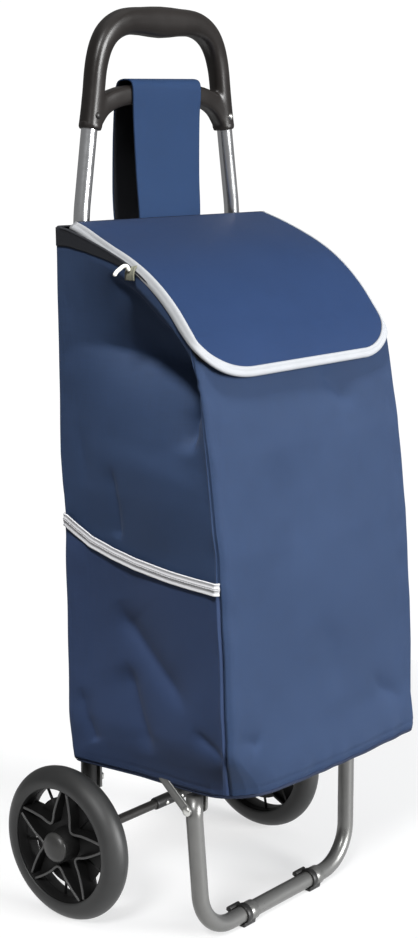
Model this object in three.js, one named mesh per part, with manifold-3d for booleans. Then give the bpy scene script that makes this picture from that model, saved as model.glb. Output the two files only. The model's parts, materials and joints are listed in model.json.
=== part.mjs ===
// Folding shopping trolley: two chromed uprights with a moulded handle, a fabric
// bag hung between them, two spoked wheels on a through axle, and a tubular
// front stand that swings back and up under the bag.
//
// Millimetres. X is the width, +Y is the back (the side the user walks on), +Z is
// up. The pieces are drawn with the floor at z = 0 and the wheel axle over y = 0;
// the whole group then moves back by ORIGIN_Y, which puts the origin under the
// middle of the object's box.

import * as THREE from 'three';
import { mergeVertices } from 'three/addons/utils/BufferGeometryUtils.js';
import Module from 'manifold-3d';

const wasm = await Module();
wasm.setup();

// ---------------------------------------------------------------- dimensions
const GAP = 0.3;                 // clearance between touching pieces

// from the axle to the middle of the overall depth
const ORIGIN_Y = 64;

// wheels and axle
const WHEEL_R = 80;              // tyre outer radius
const RIM_R = 61.6;              // rim outer radius, where the tyre starts
const WHEEL_X = 158.3;           // mid-plane of each wheel
const TYRE_W = 29;
const HUB_R = 17;
const HUB_X0 = 141.6;            // inner face of the hub
const HUB_X1 = 174;              // outer face of the hub
const CAP_R = 15.5;
const CAP_X1 = 182;
const AXLE_R = 5;
const AXLE_Z = 80;
const AXLE_HALF = 173;
const SLEEVE_R = 6.6;
const SLEEVE_HALF = 26;

// uprights
const TUBE_R = 8;
const TUBE_WALL = 1.2;
const POST_X = 115;              // spacing of the straight part, either side
const POST_Y = 10;
const POST_Z0 = 88;
const BEND_Z0 = 692;             // the tubes start to lean in here
const BEND_Z1 = 722;
const LEAN = 0.151;              // inward slope above the bend
const POST_TOP = 832;

// handle
const HANDLE_Y = 10;
const HANDLE_T = 25;             // front to back
const BRACE_T = 18;              // the lower brace is thinner
const HANDLE_TOP = 909;
const HANDLE_Z0 = 792;

// axle brackets
const BRK_X0 = 103, BRK_X1 = 127.5;
const BRK_Y0 = -12, BRK_Y1 = 24;
const BRK_Z0 = 60, BRK_Z1 = 120;

// platform under the bag
const ARM_X = 126;
const ARM_R = 8;
const ARM_Z = 170;
const BAR_R = 6;
const PLAT_Y0 = -14;
const PLAT_Y1 = -188;
const PLAT_BEND = 30;
const BOARD_Z0 = 181, BOARD_T = 4;

// stand
const PIN_Y = -143, PIN_Z = 144.5, PIN_R = 3;
const LEG_R = 8.5;
const LEG_WALL = 1.2;
const LEG_X_TOP = 126;
const LEG_X_BOT = 119.5;
const FOOT_Y = -148;
const FOOT_Z = 10.5;
const LEG_BEND = 45;
const LEG_TOP_Z = 153;
const CLIP_X = 55;

// bag
const BAG_HALF = 150;
const CLOTH = 2.5;
const BAG_Z0 = 166;
const BACK_Z0 = 183;             // the back wall stops above the frame brackets
const FLAP_HALF = 146;
const FLAP_T = 3;
const STRAP_HALF = 50;
const STRAP_T = 2;

// ------------------------------------------------------------------- colours
const CHROME = { color: 0xc9ccd0, roughness: 0.18, metalness: 1 };
const STEEL_GREY = { color: 0x8b8b8b, roughness: 0.38, metalness: 0.85 };
const ZINC = { color: 0xb4b5ac, roughness: 0.35, metalness: 0.9 };
const BLACK_PLASTIC = { color: 0x232325, roughness: 0.42, metalness: 0 };
const BLACK_STEEL = { color: 0x26261f, roughness: 0.4, metalness: 0.5 };
const RIM_PLASTIC = { color: 0x2b2c2a, roughness: 0.5, metalness: 0 };
const TYRE_RUBBER = { color: 0x343534, roughness: 0.62, metalness: 0 };
const BLUE_CLOTH = { color: 0x2b4270, roughness: 0.85, metalness: 0 };
const BOARD_GREY = { color: 0x4a4a48, roughness: 0.8, metalness: 0 };
const HOOK_WHITE = { color: 0xe6e4dd, roughness: 0.4, metalness: 0 };
const TAB_OLIVE = { color: 0x5b5a49, roughness: 0.8, metalness: 0 };

const trolley = new THREE.Group();

// ------------------------------------------------------------------- helpers
function closed(geometry) {
  // position only, shared vertices merged, faces turned outward
  let g = geometry.index ? geometry : geometry.clone();
  g.deleteAttribute('normal');
  g.deleteAttribute('uv');
  g = mergeVertices(g, 1e-4);
  const p = g.attributes.position, ix = g.index;
  const a = new THREE.Vector3(), b = new THREE.Vector3(), c = new THREE.Vector3();
  const keep = [];
  let volume = 0;
  for (let i = 0; i < ix.count; i += 3) {
    const i0 = ix.getX(i), i1 = ix.getX(i + 1), i2 = ix.getX(i + 2);
    if (i0 === i1 || i1 === i2 || i2 === i0) continue;
    a.fromBufferAttribute(p, i0); b.fromBufferAttribute(p, i1); c.fromBufferAttribute(p, i2);
    volume += a.dot(b.cross(c)) / 6;
    keep.push(i0, i1, i2);
  }
  if (volume < 0) for (let i = 0; i < keep.length; i += 3) {
    const t = keep[i + 1]; keep[i + 1] = keep[i + 2]; keep[i + 2] = t;
  }
  g.setIndex(keep);
  return g;
}

function solidOf(geometry) {
  const g = closed(geometry);
  return new wasm.Manifold(new wasm.Mesh({
    numProp: 3,
    vertProperties: new Float32Array(g.attributes.position.array),
    triVerts: new Uint32Array(g.index.array),
  }));
}

function geometryOf(solid) {
  const m = solid.getMesh();
  const g = new THREE.BufferGeometry();
  const n = m.vertProperties.length / m.numProp;
  const pos = new Float32Array(n * 3);
  for (let i = 0; i < n; i++) for (let k = 0; k < 3; k++) pos[3 * i + k] = m.vertProperties[m.numProp * i + k];
  g.setAttribute('position', new THREE.BufferAttribute(pos, 3));
  g.setIndex(Array.from(m.triVerts));
  return g;
}

function add(name, geometry, finish) {
  const g = closed(geometry);
  g.computeVertexNormals();
  const mesh = new THREE.Mesh(g, new THREE.MeshStandardMaterial(finish));
  mesh.name = name;
  trolley.add(mesh);
  return mesh;
}

// A curve sampled exactly at the stations it is given, so that a long straight
// run costs one step and a bend gets several.
class Stations extends THREE.Curve {
  constructor(points) { super(); this.points = points; }
  getPoint(t) {
    const n = this.points.length - 1, f = Math.min(Math.max(t, 0), 1) * n;
    const i = Math.min(Math.floor(f + 1e-9), n - 1);
    return this.points[i].clone().lerp(this.points[i + 1], f - i);
  }
  getPointAt(t) { return this.getPoint(t); }
  getTangent(t) {
    const n = this.points.length - 1, i = Math.round(Math.min(Math.max(t, 0), 1) * n);
    const a = this.points[Math.max(i - 1, 0)], b = this.points[i], c = this.points[Math.min(i + 1, n)];
    const d = new THREE.Vector3();
    if (i > 0) d.add(b.clone().sub(a).normalize());
    if (i < n) d.add(c.clone().sub(b).normalize());
    return d.normalize();
  }
  getTangentAt(t) { return this.getTangent(t); }
  getSpacedPoints(n) {
    const out = [];
    for (let i = 0; i <= n; i++) out.push(this.getPoint(i / n));
    return out;
  }
}

function ring(radius, hole, sides) {
  const s = new THREE.Shape();
  for (let i = 0; i < sides; i++) {
    const a = (2 * Math.PI * (i + 0.5)) / sides;
    if (i === 0) s.moveTo(radius * Math.cos(a), radius * Math.sin(a));
    else s.lineTo(radius * Math.cos(a), radius * Math.sin(a));
  }
  s.closePath();
  if (hole > 0) {
    const h = new THREE.Path();
    for (let i = 0; i < sides; i++) {
      const a = (-2 * Math.PI * (i + 0.5)) / sides;
      if (i === 0) h.moveTo(hole * Math.cos(a), hole * Math.sin(a));
      else h.lineTo(hole * Math.cos(a), hole * Math.sin(a));
    }
    h.closePath();
    s.holes.push(h);
  }
  return s;
}

function tube(points, radius, wall, sides = 16) {
  const path = new Stations(points);
  return new THREE.ExtrudeGeometry(ring(radius, wall > 0 ? radius - wall : 0, sides), {
    steps: points.length - 1, extrudePath: path, bevelEnabled: false,
  });
}

const V = (x, y, z) => new THREE.Vector3(x, y, z);

// points of a polyline with its corners rounded
function rounded(points, radii, steps = 7) {
  const out = [points[0].clone()];
  for (let i = 1; i < points.length - 1; i++) {
    const p = points[i], a = points[i - 1].clone().sub(p).normalize(), b = points[i + 1].clone().sub(p).normalize();
    const r = radii[i - 1];
    const angle = Math.acos(THREE.MathUtils.clamp(a.dot(b), -1, 1));
    const d = r / Math.tan(angle / 2);
    const bis = a.clone().add(b).normalize();
    const centre = p.clone().addScaledVector(bis, r / Math.sin(angle / 2));
    const s = p.clone().addScaledVector(a, d).sub(centre), e = p.clone().addScaledVector(b, d).sub(centre);
    const sweep = Math.acos(THREE.MathUtils.clamp(s.dot(e) / (r * r), -1, 1));
    for (let k = 0; k <= steps; k++) {
      const t = k / steps;
      const v = s.clone().multiplyScalar(Math.sin((1 - t) * sweep) / Math.sin(sweep))
        .addScaledVector(e, Math.sin(t * sweep) / Math.sin(sweep));
      out.push(centre.clone().add(v));
    }
  }
  out.push(points[points.length - 1].clone());
  return out;
}

// a profile given in (y, z), extruded along X from x0 to x1
function acrossX(shape, x0, x1, curveSegments = 8) {
  const g = new THREE.ExtrudeGeometry(shape, { depth: x1 - x0, bevelEnabled: false, curveSegments });
  g.applyMatrix4(new THREE.Matrix4().makeBasis(V(0, 1, 0), V(0, 0, 1), V(1, 0, 0)));
  g.translate(x0, 0, 0);
  return g;
}

// a profile given in (x, z), extruded along Y from y0 to y1, edges rounded by bevel
function acrossY(shape, y0, y1, bevel = 0, bevelSegments = 3, curveSegments = 8) {
  const g = new THREE.ExtrudeGeometry(shape, {
    depth: y1 - y0 - 2 * bevel, bevelEnabled: bevel > 0, bevelSize: bevel, bevelThickness: bevel,
    bevelOffset: -bevel, bevelSegments, curveSegments,
  });
  g.applyMatrix4(new THREE.Matrix4().makeBasis(V(1, 0, 0), V(0, 0, 1), V(0, -1, 0)));
  g.translate(0, y1 - bevel, 0);
  return g;
}

// a profile of (radius, x) pairs turned about a line parallel to X
function turnedX(profile, y, z, sides = 32) {
  const g = new THREE.LatheGeometry(profile.map(([r, x]) => new THREE.Vector2(r, x)), sides);
  g.applyMatrix4(new THREE.Matrix4().makeBasis(V(0, 1, 0), V(1, 0, 0), V(0, 0, -1)));
  g.translate(0, y, z);
  return g;
}

// the same, turned about a line parallel to Y
function turnedY(profile, x, z, sides = 12) {
  const g = new THREE.LatheGeometry(profile.map(([r, t]) => new THREE.Vector2(r, t)), sides);
  g.translate(x, 0, z);
  return g;
}

function polygon(points) {
  const s = new THREE.Shape();
  points.forEach(([a, b], i) => (i === 0 ? s.moveTo(a, b) : s.lineTo(a, b)));
  s.closePath();
  return s;
}

function hole(shape, a, b, r, sides = 20) {
  const h = new THREE.Path();
  for (let i = 0; i < sides; i++) {
    const t = (-2 * Math.PI * i) / sides;
    if (i === 0) h.moveTo(a + r * Math.cos(t), b + r * Math.sin(t));
    else h.lineTo(a + r * Math.cos(t), b + r * Math.sin(t));
  }
  h.closePath();
  shape.holes.push(h);
  return shape;
}

const SIDES = [['left', -1], ['right', 1]];

// ------------------------------------------------------------------- uprights
for (const [side, s] of SIDES) {
  const pts = [V(s * POST_X, POST_Y, POST_Z0)];
  for (let k = 0; k <= 3; k++) {
    const z = BEND_Z0 + ((BEND_Z1 - BEND_Z0) * k) / 3, u = k / 3;
    pts.push(V(s * (POST_X - LEAN * (BEND_Z1 - BEND_Z0) * 0.5 * u * u), POST_Y, z));
  }
  const x1 = POST_X - LEAN * (BEND_Z1 - BEND_Z0) * 0.5;
  pts.push(V(s * (x1 - LEAN * (POST_TOP - BEND_Z1)), POST_Y, POST_TOP));
  add(`upright_${side}`, tube(pts, TUBE_R, TUBE_WALL, 14), CHROME);
}
const postX = (z) => POST_X - LEAN * (BEND_Z1 - BEND_Z0) * 0.5 - LEAN * (z - BEND_Z1);

// --------------------------------------------------------------------- handle
{
  // outer outline, right half from the lower end up to the crown
  const half = [
    [117, HANDLE_Z0], [115.8, 800], [112.5, 817], [109, 835], [105.6, 852], [102.6, 866], [98.8, 878],
    [92.5, 888.5], [84, 897.5], [73, 904], [60, 908.2], [46, HANDLE_TOP], [24, 908], [0, 907.3],
  ];
  const outer = [...half, ...half.slice(0, -1).reverse().map(([x, z]) => [-x, z])];
  // the arch between the two legs under the brace
  const arch = [
    [-87.5, HANDLE_Z0], [-86, 799], [-81, 806.5], [-73, 812.5], [-62, 816.2], [-46, 818], [0, 818.5],
    [46, 818], [62, 816.2], [73, 812.5], [81, 806.5], [86, 799], [87.5, HANDLE_Z0],
  ];
  const body = polygon([...outer, ...arch]);
  // the hand opening between the grip and the brace
  const win = [
    [-52, 838.4], [-66, 836], [-77.5, 832.6], [-82.4, 834.5], [-82.2, 842], [-79, 858], [-74.5, 869.5], [-67, 877.5],
    [-57, 882.3], [-46, 883.4], [-32, 882.2], [-16, 880.8], [0, 880.2], [16, 880.8], [32, 882.2], [46, 883.4],
    [57, 882.3], [67, 877.5], [74.5, 869.5], [79, 858], [82.2, 842], [82.4, 834.5], [77.5, 832.6], [66, 836],
    [52, 838.4],
  ];
  const h = new THREE.Path();
  win.forEach(([a, b], i) => (i === 0 ? h.moveTo(a, b) : h.lineTo(a, b)));
  h.closePath();
  body.holes.push(h);
  let solid = solidOf(acrossY(body, HANDLE_Y - HANDLE_T / 2, HANDLE_Y + HANDLE_T / 2, 6, 2));
  // the brace is thinner than the legs and the grip
  const cut = polygon([[-74, 800], [74, 800], [74, 826], [66, 848], [-66, 848], [-74, 826]]);
  solid = solid.subtract(solidOf(acrossY(cut, HANDLE_Y - 40, HANDLE_Y - BRACE_T / 2)));
  solid = solid.subtract(solidOf(acrossY(cut, HANDLE_Y + BRACE_T / 2, HANDLE_Y + 40)));
  // sockets for the uprights
  for (const [, s] of SIDES) {
    const a = V(s * postX(780), POST_Y, 780), b = V(s * postX(POST_TOP + 1), POST_Y, POST_TOP + 1);
    solid = solid.subtract(solidOf(tube([a, b], TUBE_R + GAP + 0.15, 0, 14)));
  }
  // seats for the two rivets
  for (const [, s] of SIDES) {
    solid = solid.subtract(solidOf(turnedY([[0, -6], [3.4, -6], [3.4, 1.2], [0, 1.2]], s * postX(804), 804)));
  }
  add('handle', geometryOf(solid), BLACK_PLASTIC);
}
for (const [side, s] of SIDES) {
  const y0 = HANDLE_Y - HANDLE_T / 2;
  add(`handle_rivet_${side}`, turnedY([
    [0, y0 - 2], [1.8, y0 - 1.8], [3.4, y0 - 1.1], [4.2, y0 - 0.3], [3, y0 - 0.3], [3, 1.1], [0, 1.1],
  ], s * postX(804), 804), CHROME);
}

// --------------------------------------------------------------- axle and hubs
add('axle', turnedX([[0, -AXLE_HALF], [AXLE_R - 1, -AXLE_HALF], [AXLE_R, -AXLE_HALF + 1], [AXLE_R, AXLE_HALF - 1],
  [AXLE_R - 1, AXLE_HALF], [0, AXLE_HALF]], 0, AXLE_Z, 16), BLACK_STEEL);
{
  const r = SLEEVE_R, w = SLEEVE_HALF, i = AXLE_R + GAP;
  const g = turnedX([[i, -w], [r - 0.8, -w], [r, -w + 2], [r, w - 2], [r - 0.8, w], [i, w], [i, -w]], 0, AXLE_Z, 16);
  add('axle_sleeve', g, BLACK_PLASTIC);
}
for (const [side, s] of SIDES) {
  const g = new THREE.LatheGeometry([[0, 0], [2.6, 0], [2.4, 0.9], [1.4, 1.5], [0, 1.7]].map(([r, t]) => new THREE.Vector2(r, t)), 10);
  g.applyMatrix4(new THREE.Matrix4().makeBasis(V(1, 0, 0), V(0, -1, 0), V(0, 0, -1)));
  g.translate(s * 12, -SLEEVE_R - 0.35, AXLE_Z);
  add(`sleeve_rivet_${side}`, g, ZINC);
}

for (const [side, s] of SIDES) {
  // moulded bracket: a block that takes the upright from above and the axle through it
  const b = 5;
  const prof = polygon([
    [BRK_Y0 + b, BRK_Z0], [BRK_Y1 - 12, BRK_Z0], [BRK_Y1, BRK_Z0 + 14], [BRK_Y1, BRK_Z1 - 3], [BRK_Y1 - 3, BRK_Z1],
    [BRK_Y0 + 14, BRK_Z1], [BRK_Y0 + 8, BRK_Z1 - 10], [BRK_Y0, BRK_Z1 - 28], [BRK_Y0, BRK_Z0 + b],
  ]);
  const x0 = s < 0 ? -BRK_X1 : BRK_X0, x1 = s < 0 ? -BRK_X0 : BRK_X1;
  let solid = solidOf(acrossX(prof, x0, x1));
  solid = solid.subtract(solidOf(turnedX([[0, -200], [AXLE_R + GAP, -200], [AXLE_R + GAP, 200], [0, 200]], 0, AXLE_Z, 16)));
  // the socket stops behind the axle bore
  solid = solid.subtract(solidOf(tube([V(s * POST_X, POST_Y, POST_Z0 - GAP), V(s * POST_X, POST_Y, 130)], TUBE_R + GAP + 0.15, 0, 14)));
  add(`axle_bracket_${side}`, geometryOf(solid), BLACK_PLASTIC);

  const f = (a) => s * a;
  add(`wheel_spacer_${side}`, turnedX([
    [AXLE_R + GAP, f(BRK_X1 + GAP)], [8, f(BRK_X1 + GAP)], [8, f(HUB_X0 - GAP)], [AXLE_R + GAP, f(HUB_X0 - GAP)],
    [AXLE_R + GAP, f(BRK_X1 + GAP)],
  ], 0, AXLE_Z, 16), BLACK_PLASTIC);

  // tyre
  const w = TYRE_W / 2, q = RIM_R + GAP, R = WHEEL_R;
  const tyre = [
    [q, -w + 3], [q + 4, -w], [R - 7, -w + 0.6], [R - 2, -w + 5], [R, -w + 10], [R, w - 10], [R - 2, w - 5],
    [R - 7, w - 0.6], [q + 4, w], [q, w - 3], [q, -w + 3],
  ].map(([r, x]) => [r, f(WHEEL_X) + x]);
  add(`tyre_${side}`, turnedX(tyre, 0, AXLE_Z, 40), TYRE_RUBBER);

  // rim: a ring with a five-pointed star of spokes, and a hub through its middle
  const disc = new THREE.Shape();
  const N = 40;
  for (let i = 0; i < N; i++) {
    const a = (2 * Math.PI * i) / N;
    if (i === 0) disc.moveTo(RIM_R * Math.cos(a), RIM_R * Math.sin(a)); else disc.lineTo(RIM_R * Math.cos(a), RIM_R * Math.sin(a));
  }
  disc.closePath();
  for (let k = 0; k < 5; k++) {
    // window between two spokes: wide at the rim, a rounded point toward the hub
    const mid = THREE.MathUtils.degToRad(72 * k + 36 + 8), h2 = new THREE.Path(), pts = [];
    const ro = 55.5;
    for (let j = 0; j <= 5; j++) {
      const a = mid + THREE.MathUtils.degToRad(31 - (62 * j) / 5);
      pts.push([ro * Math.cos(a), ro * Math.sin(a)]);
    }
    for (const [r, d] of [[40, -20], [29, -9], [26.5, 0], [29, 9], [40, 20]]) {
      const a = mid + THREE.MathUtils.degToRad(d);
      pts.push([r * Math.cos(a), r * Math.sin(a)]);
    }
    pts.forEach(([a, b2], i) => (i === 0 ? h2.moveTo(a, b2) : h2.lineTo(a, b2)));
    h2.closePath();
    disc.holes.push(h2);
  }
  let rim = solidOf(acrossX(disc, WHEEL_X - 11.5, WHEEL_X + 11.5));
  rim = rim.add(solidOf(turnedX([[0, HUB_X0], [HUB_R, HUB_X0], [HUB_R, HUB_X1 - 2], [HUB_R - 2, HUB_X1], [0, HUB_X1]], 0, 0, 24)));
  rim = rim.subtract(solidOf(turnedX([[0, HUB_X0 - 5], [AXLE_R + GAP, HUB_X0 - 5], [AXLE_R + GAP, HUB_X1 + 5], [0, HUB_X1 + 5]], 0, 0, 16)));
  const g = geometryOf(rim);
  if (s < 0) g.rotateZ(Math.PI);
  g.translate(0, 0, AXLE_Z);
  add(`wheel_rim_${side}`, g, RIM_PLASTIC);

  add(`hub_cap_${side}`, turnedX([
    [0, f(HUB_X1 + GAP)], [CAP_R, f(HUB_X1 + GAP)], [CAP_R, f(HUB_X1 + 2.4)], [CAP_R - 2, f(HUB_X1 + 5)],
    [CAP_R - 6, f(CAP_X1 - 1.2)], [0, f(CAP_X1)],
  ], 0, AXLE_Z, 24), BLACK_PLASTIC);
}

// ------------------------------------------------------------- platform frame
add('platform_frame', tube(rounded([
  V(-ARM_X, PLAT_Y0 + ARM_R, ARM_Z), V(-ARM_X, PLAT_Y1, ARM_Z), V(ARM_X, PLAT_Y1, ARM_Z), V(ARM_X, PLAT_Y0 + ARM_R, ARM_Z),
], [PLAT_BEND, PLAT_BEND], 4), ARM_R, 1.2, 12), STEEL_GREY);
add('platform_rear_bar', tube([V(-ARM_X + ARM_R + GAP, PLAT_Y0, ARM_Z), V(ARM_X - ARM_R - GAP, PLAT_Y0, ARM_Z)], BAR_R, 1.2, 12), STEEL_GREY);

const BOLT_Z = 132, PLATE_T = 3;
for (const [side, s] of SIDES) {
  // plate that ties the rear bar to the inner face of the upright
  const xa = POST_X - TUBE_R - GAP, xb = xa - PLATE_T;
  const plate = polygon([
    [POST_Y - 8, BOLT_Z - 9], [POST_Y + 8, BOLT_Z - 9], [POST_Y + 8, 178], [PLAT_Y0 - 7, 178], [PLAT_Y0 - 10, 175],
    [PLAT_Y0 - 10, 162], [PLAT_Y0 - 4, 157.5], [POST_Y - 12, 157.5], [POST_Y - 8, 152],
  ]);
  hole(plate, PLAT_Y0, ARM_Z, BAR_R + GAP, 12);
  hole(plate, POST_Y, BOLT_Z, 3 + GAP, 10);
  add(`frame_bracket_${side}`, acrossX(plate, s < 0 ? -xa : xb, s < 0 ? -xb : xa), STEEL_GREY);
}

// ------------------------------------------------------- hinge of the stand
const legX = (z) => LEG_X_BOT + (LEG_X_TOP - LEG_X_BOT) * THREE.MathUtils.clamp((z - FOOT_Z) / (PIN_Z - FOOT_Z), 0, 1);
const CHEEK_IN = LEG_X_TOP - LEG_R - 0.6;       // inner cheek's outer face
const CHEEK_OUT = LEG_X_TOP + LEG_R + 0.6;      // outer cheek's inner face
const CHEEK_T = 3;
for (const [side, s] of SIDES) {
  // inner cheek: straight strip from the arm down past the pin
  const w = 7, inner = [];
  inner.push([PIN_Y - w, ARM_Z + 5], [PIN_Y - w, PIN_Z]);
  for (let k = 1; k < 8; k++) {
    const a = Math.PI + (Math.PI * k) / 8;
    inner.push([PIN_Y + w * Math.cos(a), PIN_Z + w * Math.sin(a)]);
  }
  inner.push([PIN_Y + w, PIN_Z], [PIN_Y + w, ARM_Z + 5]);
  const si = hole(polygon(inner), PIN_Y, PIN_Z, PIN_R + GAP, 12);
  add(`hinge_cheek_inner_${side}`, acrossX(si, s < 0 ? -CHEEK_IN : CHEEK_IN - CHEEK_T, s < 0 ? -CHEEK_IN + CHEEK_T : CHEEK_IN), STEEL_GREY);

  // outer cheek: a strip that runs up and back from the pin to the arm
  const end = [PIN_Y + 31, ARM_Z + 1], dir = [end[0] - PIN_Y, end[1] - PIN_Z];
  const L = Math.hypot(...dir), u = [dir[0] / L, dir[1] / L], n = [-u[1], u[0]], h = 5, outer = [];
  for (let k = 0; k <= 8; k++) {
    const a = Math.PI / 2 + (Math.PI * k) / 8;
    const c = [h * Math.cos(a), h * Math.sin(a)];
    outer.push([PIN_Y + u[0] * c[0] + n[0] * c[1], PIN_Z + u[1] * c[0] + n[1] * c[1]]);
  }
  for (let k = 0; k <= 8; k++) {
    const a = -Math.PI / 2 + (Math.PI * k) / 8;
    const c = [L + h * Math.cos(a), h * Math.sin(a)];
    outer.push([PIN_Y + u[0] * c[0] + n[0] * c[1], PIN_Z + u[1] * c[0] + n[1] * c[1]]);
  }
  const so = hole(polygon(outer), PIN_Y, PIN_Z, PIN_R + GAP, 12);
  add(`hinge_cheek_outer_${side}`, acrossX(so, s < 0 ? -CHEEK_OUT - CHEEK_T : CHEEK_OUT, s < 0 ? -CHEEK_OUT : CHEEK_OUT + CHEEK_T), ZINC);

  // pin through both cheeks and the leg, headed at each end
  const x0 = CHEEK_IN - CHEEK_T - GAP, x1 = CHEEK_OUT + CHEEK_T + GAP;
  add(`hinge_pin_${side}`, turnedX([
    [0, s * (x0 - 1.8)], [3, s * (x0 - 1.6)], [5, s * x0], [PIN_R, s * x0], [PIN_R, s * x1], [5, s * x1],
    [3, s * (x1 + 1.6)], [0, s * (x1 + 1.8)],
  ], PIN_Y, PIN_Z, 12), ZINC);

  // bolt through the upright with its nut on the inner face
  const bi = POST_X - TUBE_R - GAP - PLATE_T - GAP, bo = POST_X + TUBE_R + GAP;
  const bolt = turnedX([
    [0, s * (bi - 8)], [2.6, s * (bi - 8)], [3, s * (bi - 7)], [3, s * bo], [6.5, s * bo], [5.6, s * (bo + 2.4)],
    [3, s * (bo + 3.6)], [0, s * (bo + 3.8)],
  ], POST_Y, BOLT_Z, 12);
  add(`frame_bolt_${side}`, bolt, ZINC);
  const hex = new THREE.Shape();
  for (let i = 0; i < 6; i++) {
    const a = (Math.PI * i) / 3 + Math.PI / 6;
    if (i === 0) hex.moveTo(POST_Y + 5.8 * Math.cos(a), BOLT_Z + 5.8 * Math.sin(a));
    else hex.lineTo(POST_Y + 5.8 * Math.cos(a), BOLT_Z + 5.8 * Math.sin(a));
  }
  hex.closePath();
  hole(hex, POST_Y, BOLT_Z, 3 + GAP, 10);
  add(`frame_nut_${side}`, acrossX(hex, s < 0 ? -bi : bi - 5, s < 0 ? -bi + 5 : bi), ZINC);
}

// the uprights are drilled for the bolts
for (const [side, s] of SIDES) {
  const mesh = trolley.children.find((m) => m.name === `upright_${side}`);
  const cut = solidOf(mesh.geometry).subtract(solidOf(turnedX([[0, s * 90], [3 + GAP, s * 90], [3 + GAP, s * 140], [0, s * 140]], POST_Y, BOLT_Z, 16)));
  mesh.geometry = closed(geometryOf(cut));
  mesh.geometry.computeVertexNormals();
}

// ---------------------------------------------------------------------- stand
{
  const top = (s) => V(s * legX(LEG_TOP_Z), PIN_Y, LEG_TOP_Z);
  const pin = (s) => V(s * legX(PIN_Z), PIN_Y, PIN_Z - 12);
  const bot = (s) => V(s * LEG_X_BOT, FOOT_Y, FOOT_Z);
  const path = rounded([top(-1), pin(-1), bot(-1), bot(1), pin(1), top(1)], [60, LEG_BEND, LEG_BEND, 60], 5);
  let solid = solidOf(tube(path, LEG_R, LEG_WALL, 12));
  solid = solid.subtract(solidOf(turnedX([[0, -160], [PIN_R + GAP, -160], [PIN_R + GAP, 160], [0, 160]], PIN_Y, PIN_Z, 12)));
  add('stand_leg', geometryOf(solid), STEEL_GREY);
}
for (const [side, s] of SIDES) {
  // moulded clip: a collar round the cross tube with a flat sole and a tongue at the back
  const r = LEG_R + GAP + 0.05, R = r + 2.6, pts = [];
  // sole
  pts.push([FOOT_Y - 8.5, 0], [FOOT_Y + 8.5, 0]);
  // up the back, out along the tongue and back
  const at = (d, q) => [FOOT_Y + q * Math.cos(d * Math.PI / 180), FOOT_Z + q * Math.sin(d * Math.PI / 180)];
  pts.push(at(-30, R), at(-5, R), at(18, R), at(30, R + 5.5), at(46, R + 6), at(52, R));
  for (let d = 70; d <= 205; d += 15) pts.push(at(d, R));
  const shape = polygon(pts);
  const h = new THREE.Path();
  for (let i = 0; i < 24; i++) {
    const a = (-2 * Math.PI * i) / 24 + 0.13;
    const p = [FOOT_Y + r * Math.cos(a), FOOT_Z + r * Math.sin(a)];
    if (i === 0) h.moveTo(...p); else h.lineTo(...p);
  }
  h.closePath();
  shape.holes.push(h);
  const w = 9;
  add(`foot_clip_${side}`, acrossX(shape, s * CLIP_X - w, s * CLIP_X + w), BLACK_PLASTIC);
}

// ------------------------------------------------------------------------ bag
// side view of the bag, (y, z)
const FRONT = [[-208, BAG_Z0], [-206.5, 230], [-203.5, 307], [-197, 401], [-185, 494], [-170, 572]];
const TOP = [[-168, 584], [-160.5, 598], [-150, 612], [-138, 627], [-122, 643], [-104, 657], [-84, 669], [-60, 680], [-34, 690], [-6, 699]];
{
  const out = polygon([[-0.3, BAG_Z0], ...[...TOP].reverse().map(([y, z]) => [y === -6 ? -0.3 : y, z]), ...[...FRONT].reverse()]);
  for (const [side, s] of SIDES) {
    add(`bag_side_${side}`, acrossX(out, s < 0 ? -BAG_HALF : BAG_HALF - CLOTH, s < 0 ? -BAG_HALF + CLOTH : BAG_HALF), BLUE_CLOTH);
  }
  const inner = BAG_HALF - CLOTH - GAP;
  const wall = polygon([...FRONT, [-169, 580], [-169 + CLOTH, 580], ...[...FRONT].reverse().map(([y, z]) => [y + CLOTH, z])]);
  add('bag_front', acrossX(wall, -inner, inner), BLUE_CLOTH);
  add('bag_back', acrossX(polygon([[-0.3 - CLOTH, BACK_Z0], [-0.3, BACK_Z0], [-0.3, 698], [-0.3 - CLOTH, 698]]), -inner, inner), BLUE_CLOTH);
  const yb = -0.3 - CLOTH - GAP, yf = FRONT[0][0] + CLOTH + GAP + 0.4;
  add('bag_bottom', acrossX(polygon([[yf, 178.3], [yb, 178.3], [yb, 180.5], [yf, 180.5]]), -inner + GAP, inner - GAP), BLUE_CLOTH);
  add('base_board', acrossX(polygon([[yf + 6, BOARD_Z0], [yb - 10, BOARD_Z0], [yb - 10, BOARD_Z0 + BOARD_T], [yf + 6, BOARD_Z0 + BOARD_T]]), -inner + 5, inner - 5), BOARD_GREY);

  // patch pocket on the left side, open along its top edge
  const pocket = polygon([[-6, 172], [-6, 422], [-34, 402], [-90, 389], [-136, 384], [-190, 381], [-203, 172]]);
  add('side_pocket', acrossX(pocket, -BAG_HALF - GAP - 1.8, -BAG_HALF - GAP), BLUE_CLOTH);
}

// flap: a curved cover over the mouth that ends in a short drop down the front
{
  const line = [
    [-8, 703.5], [-34, 694.5], [-60, 684.6], [-84, 673.8], [-104.5, 661.6], [-123.2, 646.8], [-139.5, 630.4],
    [-152, 614.8], [-163, 600], [-172, 583], [-175.6, 571],
  ];
  const off = [];
  for (let i = 0; i < line.length; i++) {
    const a = line[Math.max(i - 1, 0)], b = line[Math.min(i + 1, line.length - 1)];
    const t = [b[0] - a[0], b[1] - a[1]], l = Math.hypot(...t);
    off.push([line[i][0] + (t[1] / l) * FLAP_T, line[i][1] - (t[0] / l) * FLAP_T]);
  }
  add('flap', acrossX(polygon([...line, ...off.reverse()]), -FLAP_HALF, FLAP_HALF), BLUE_CLOTH);
}

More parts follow.
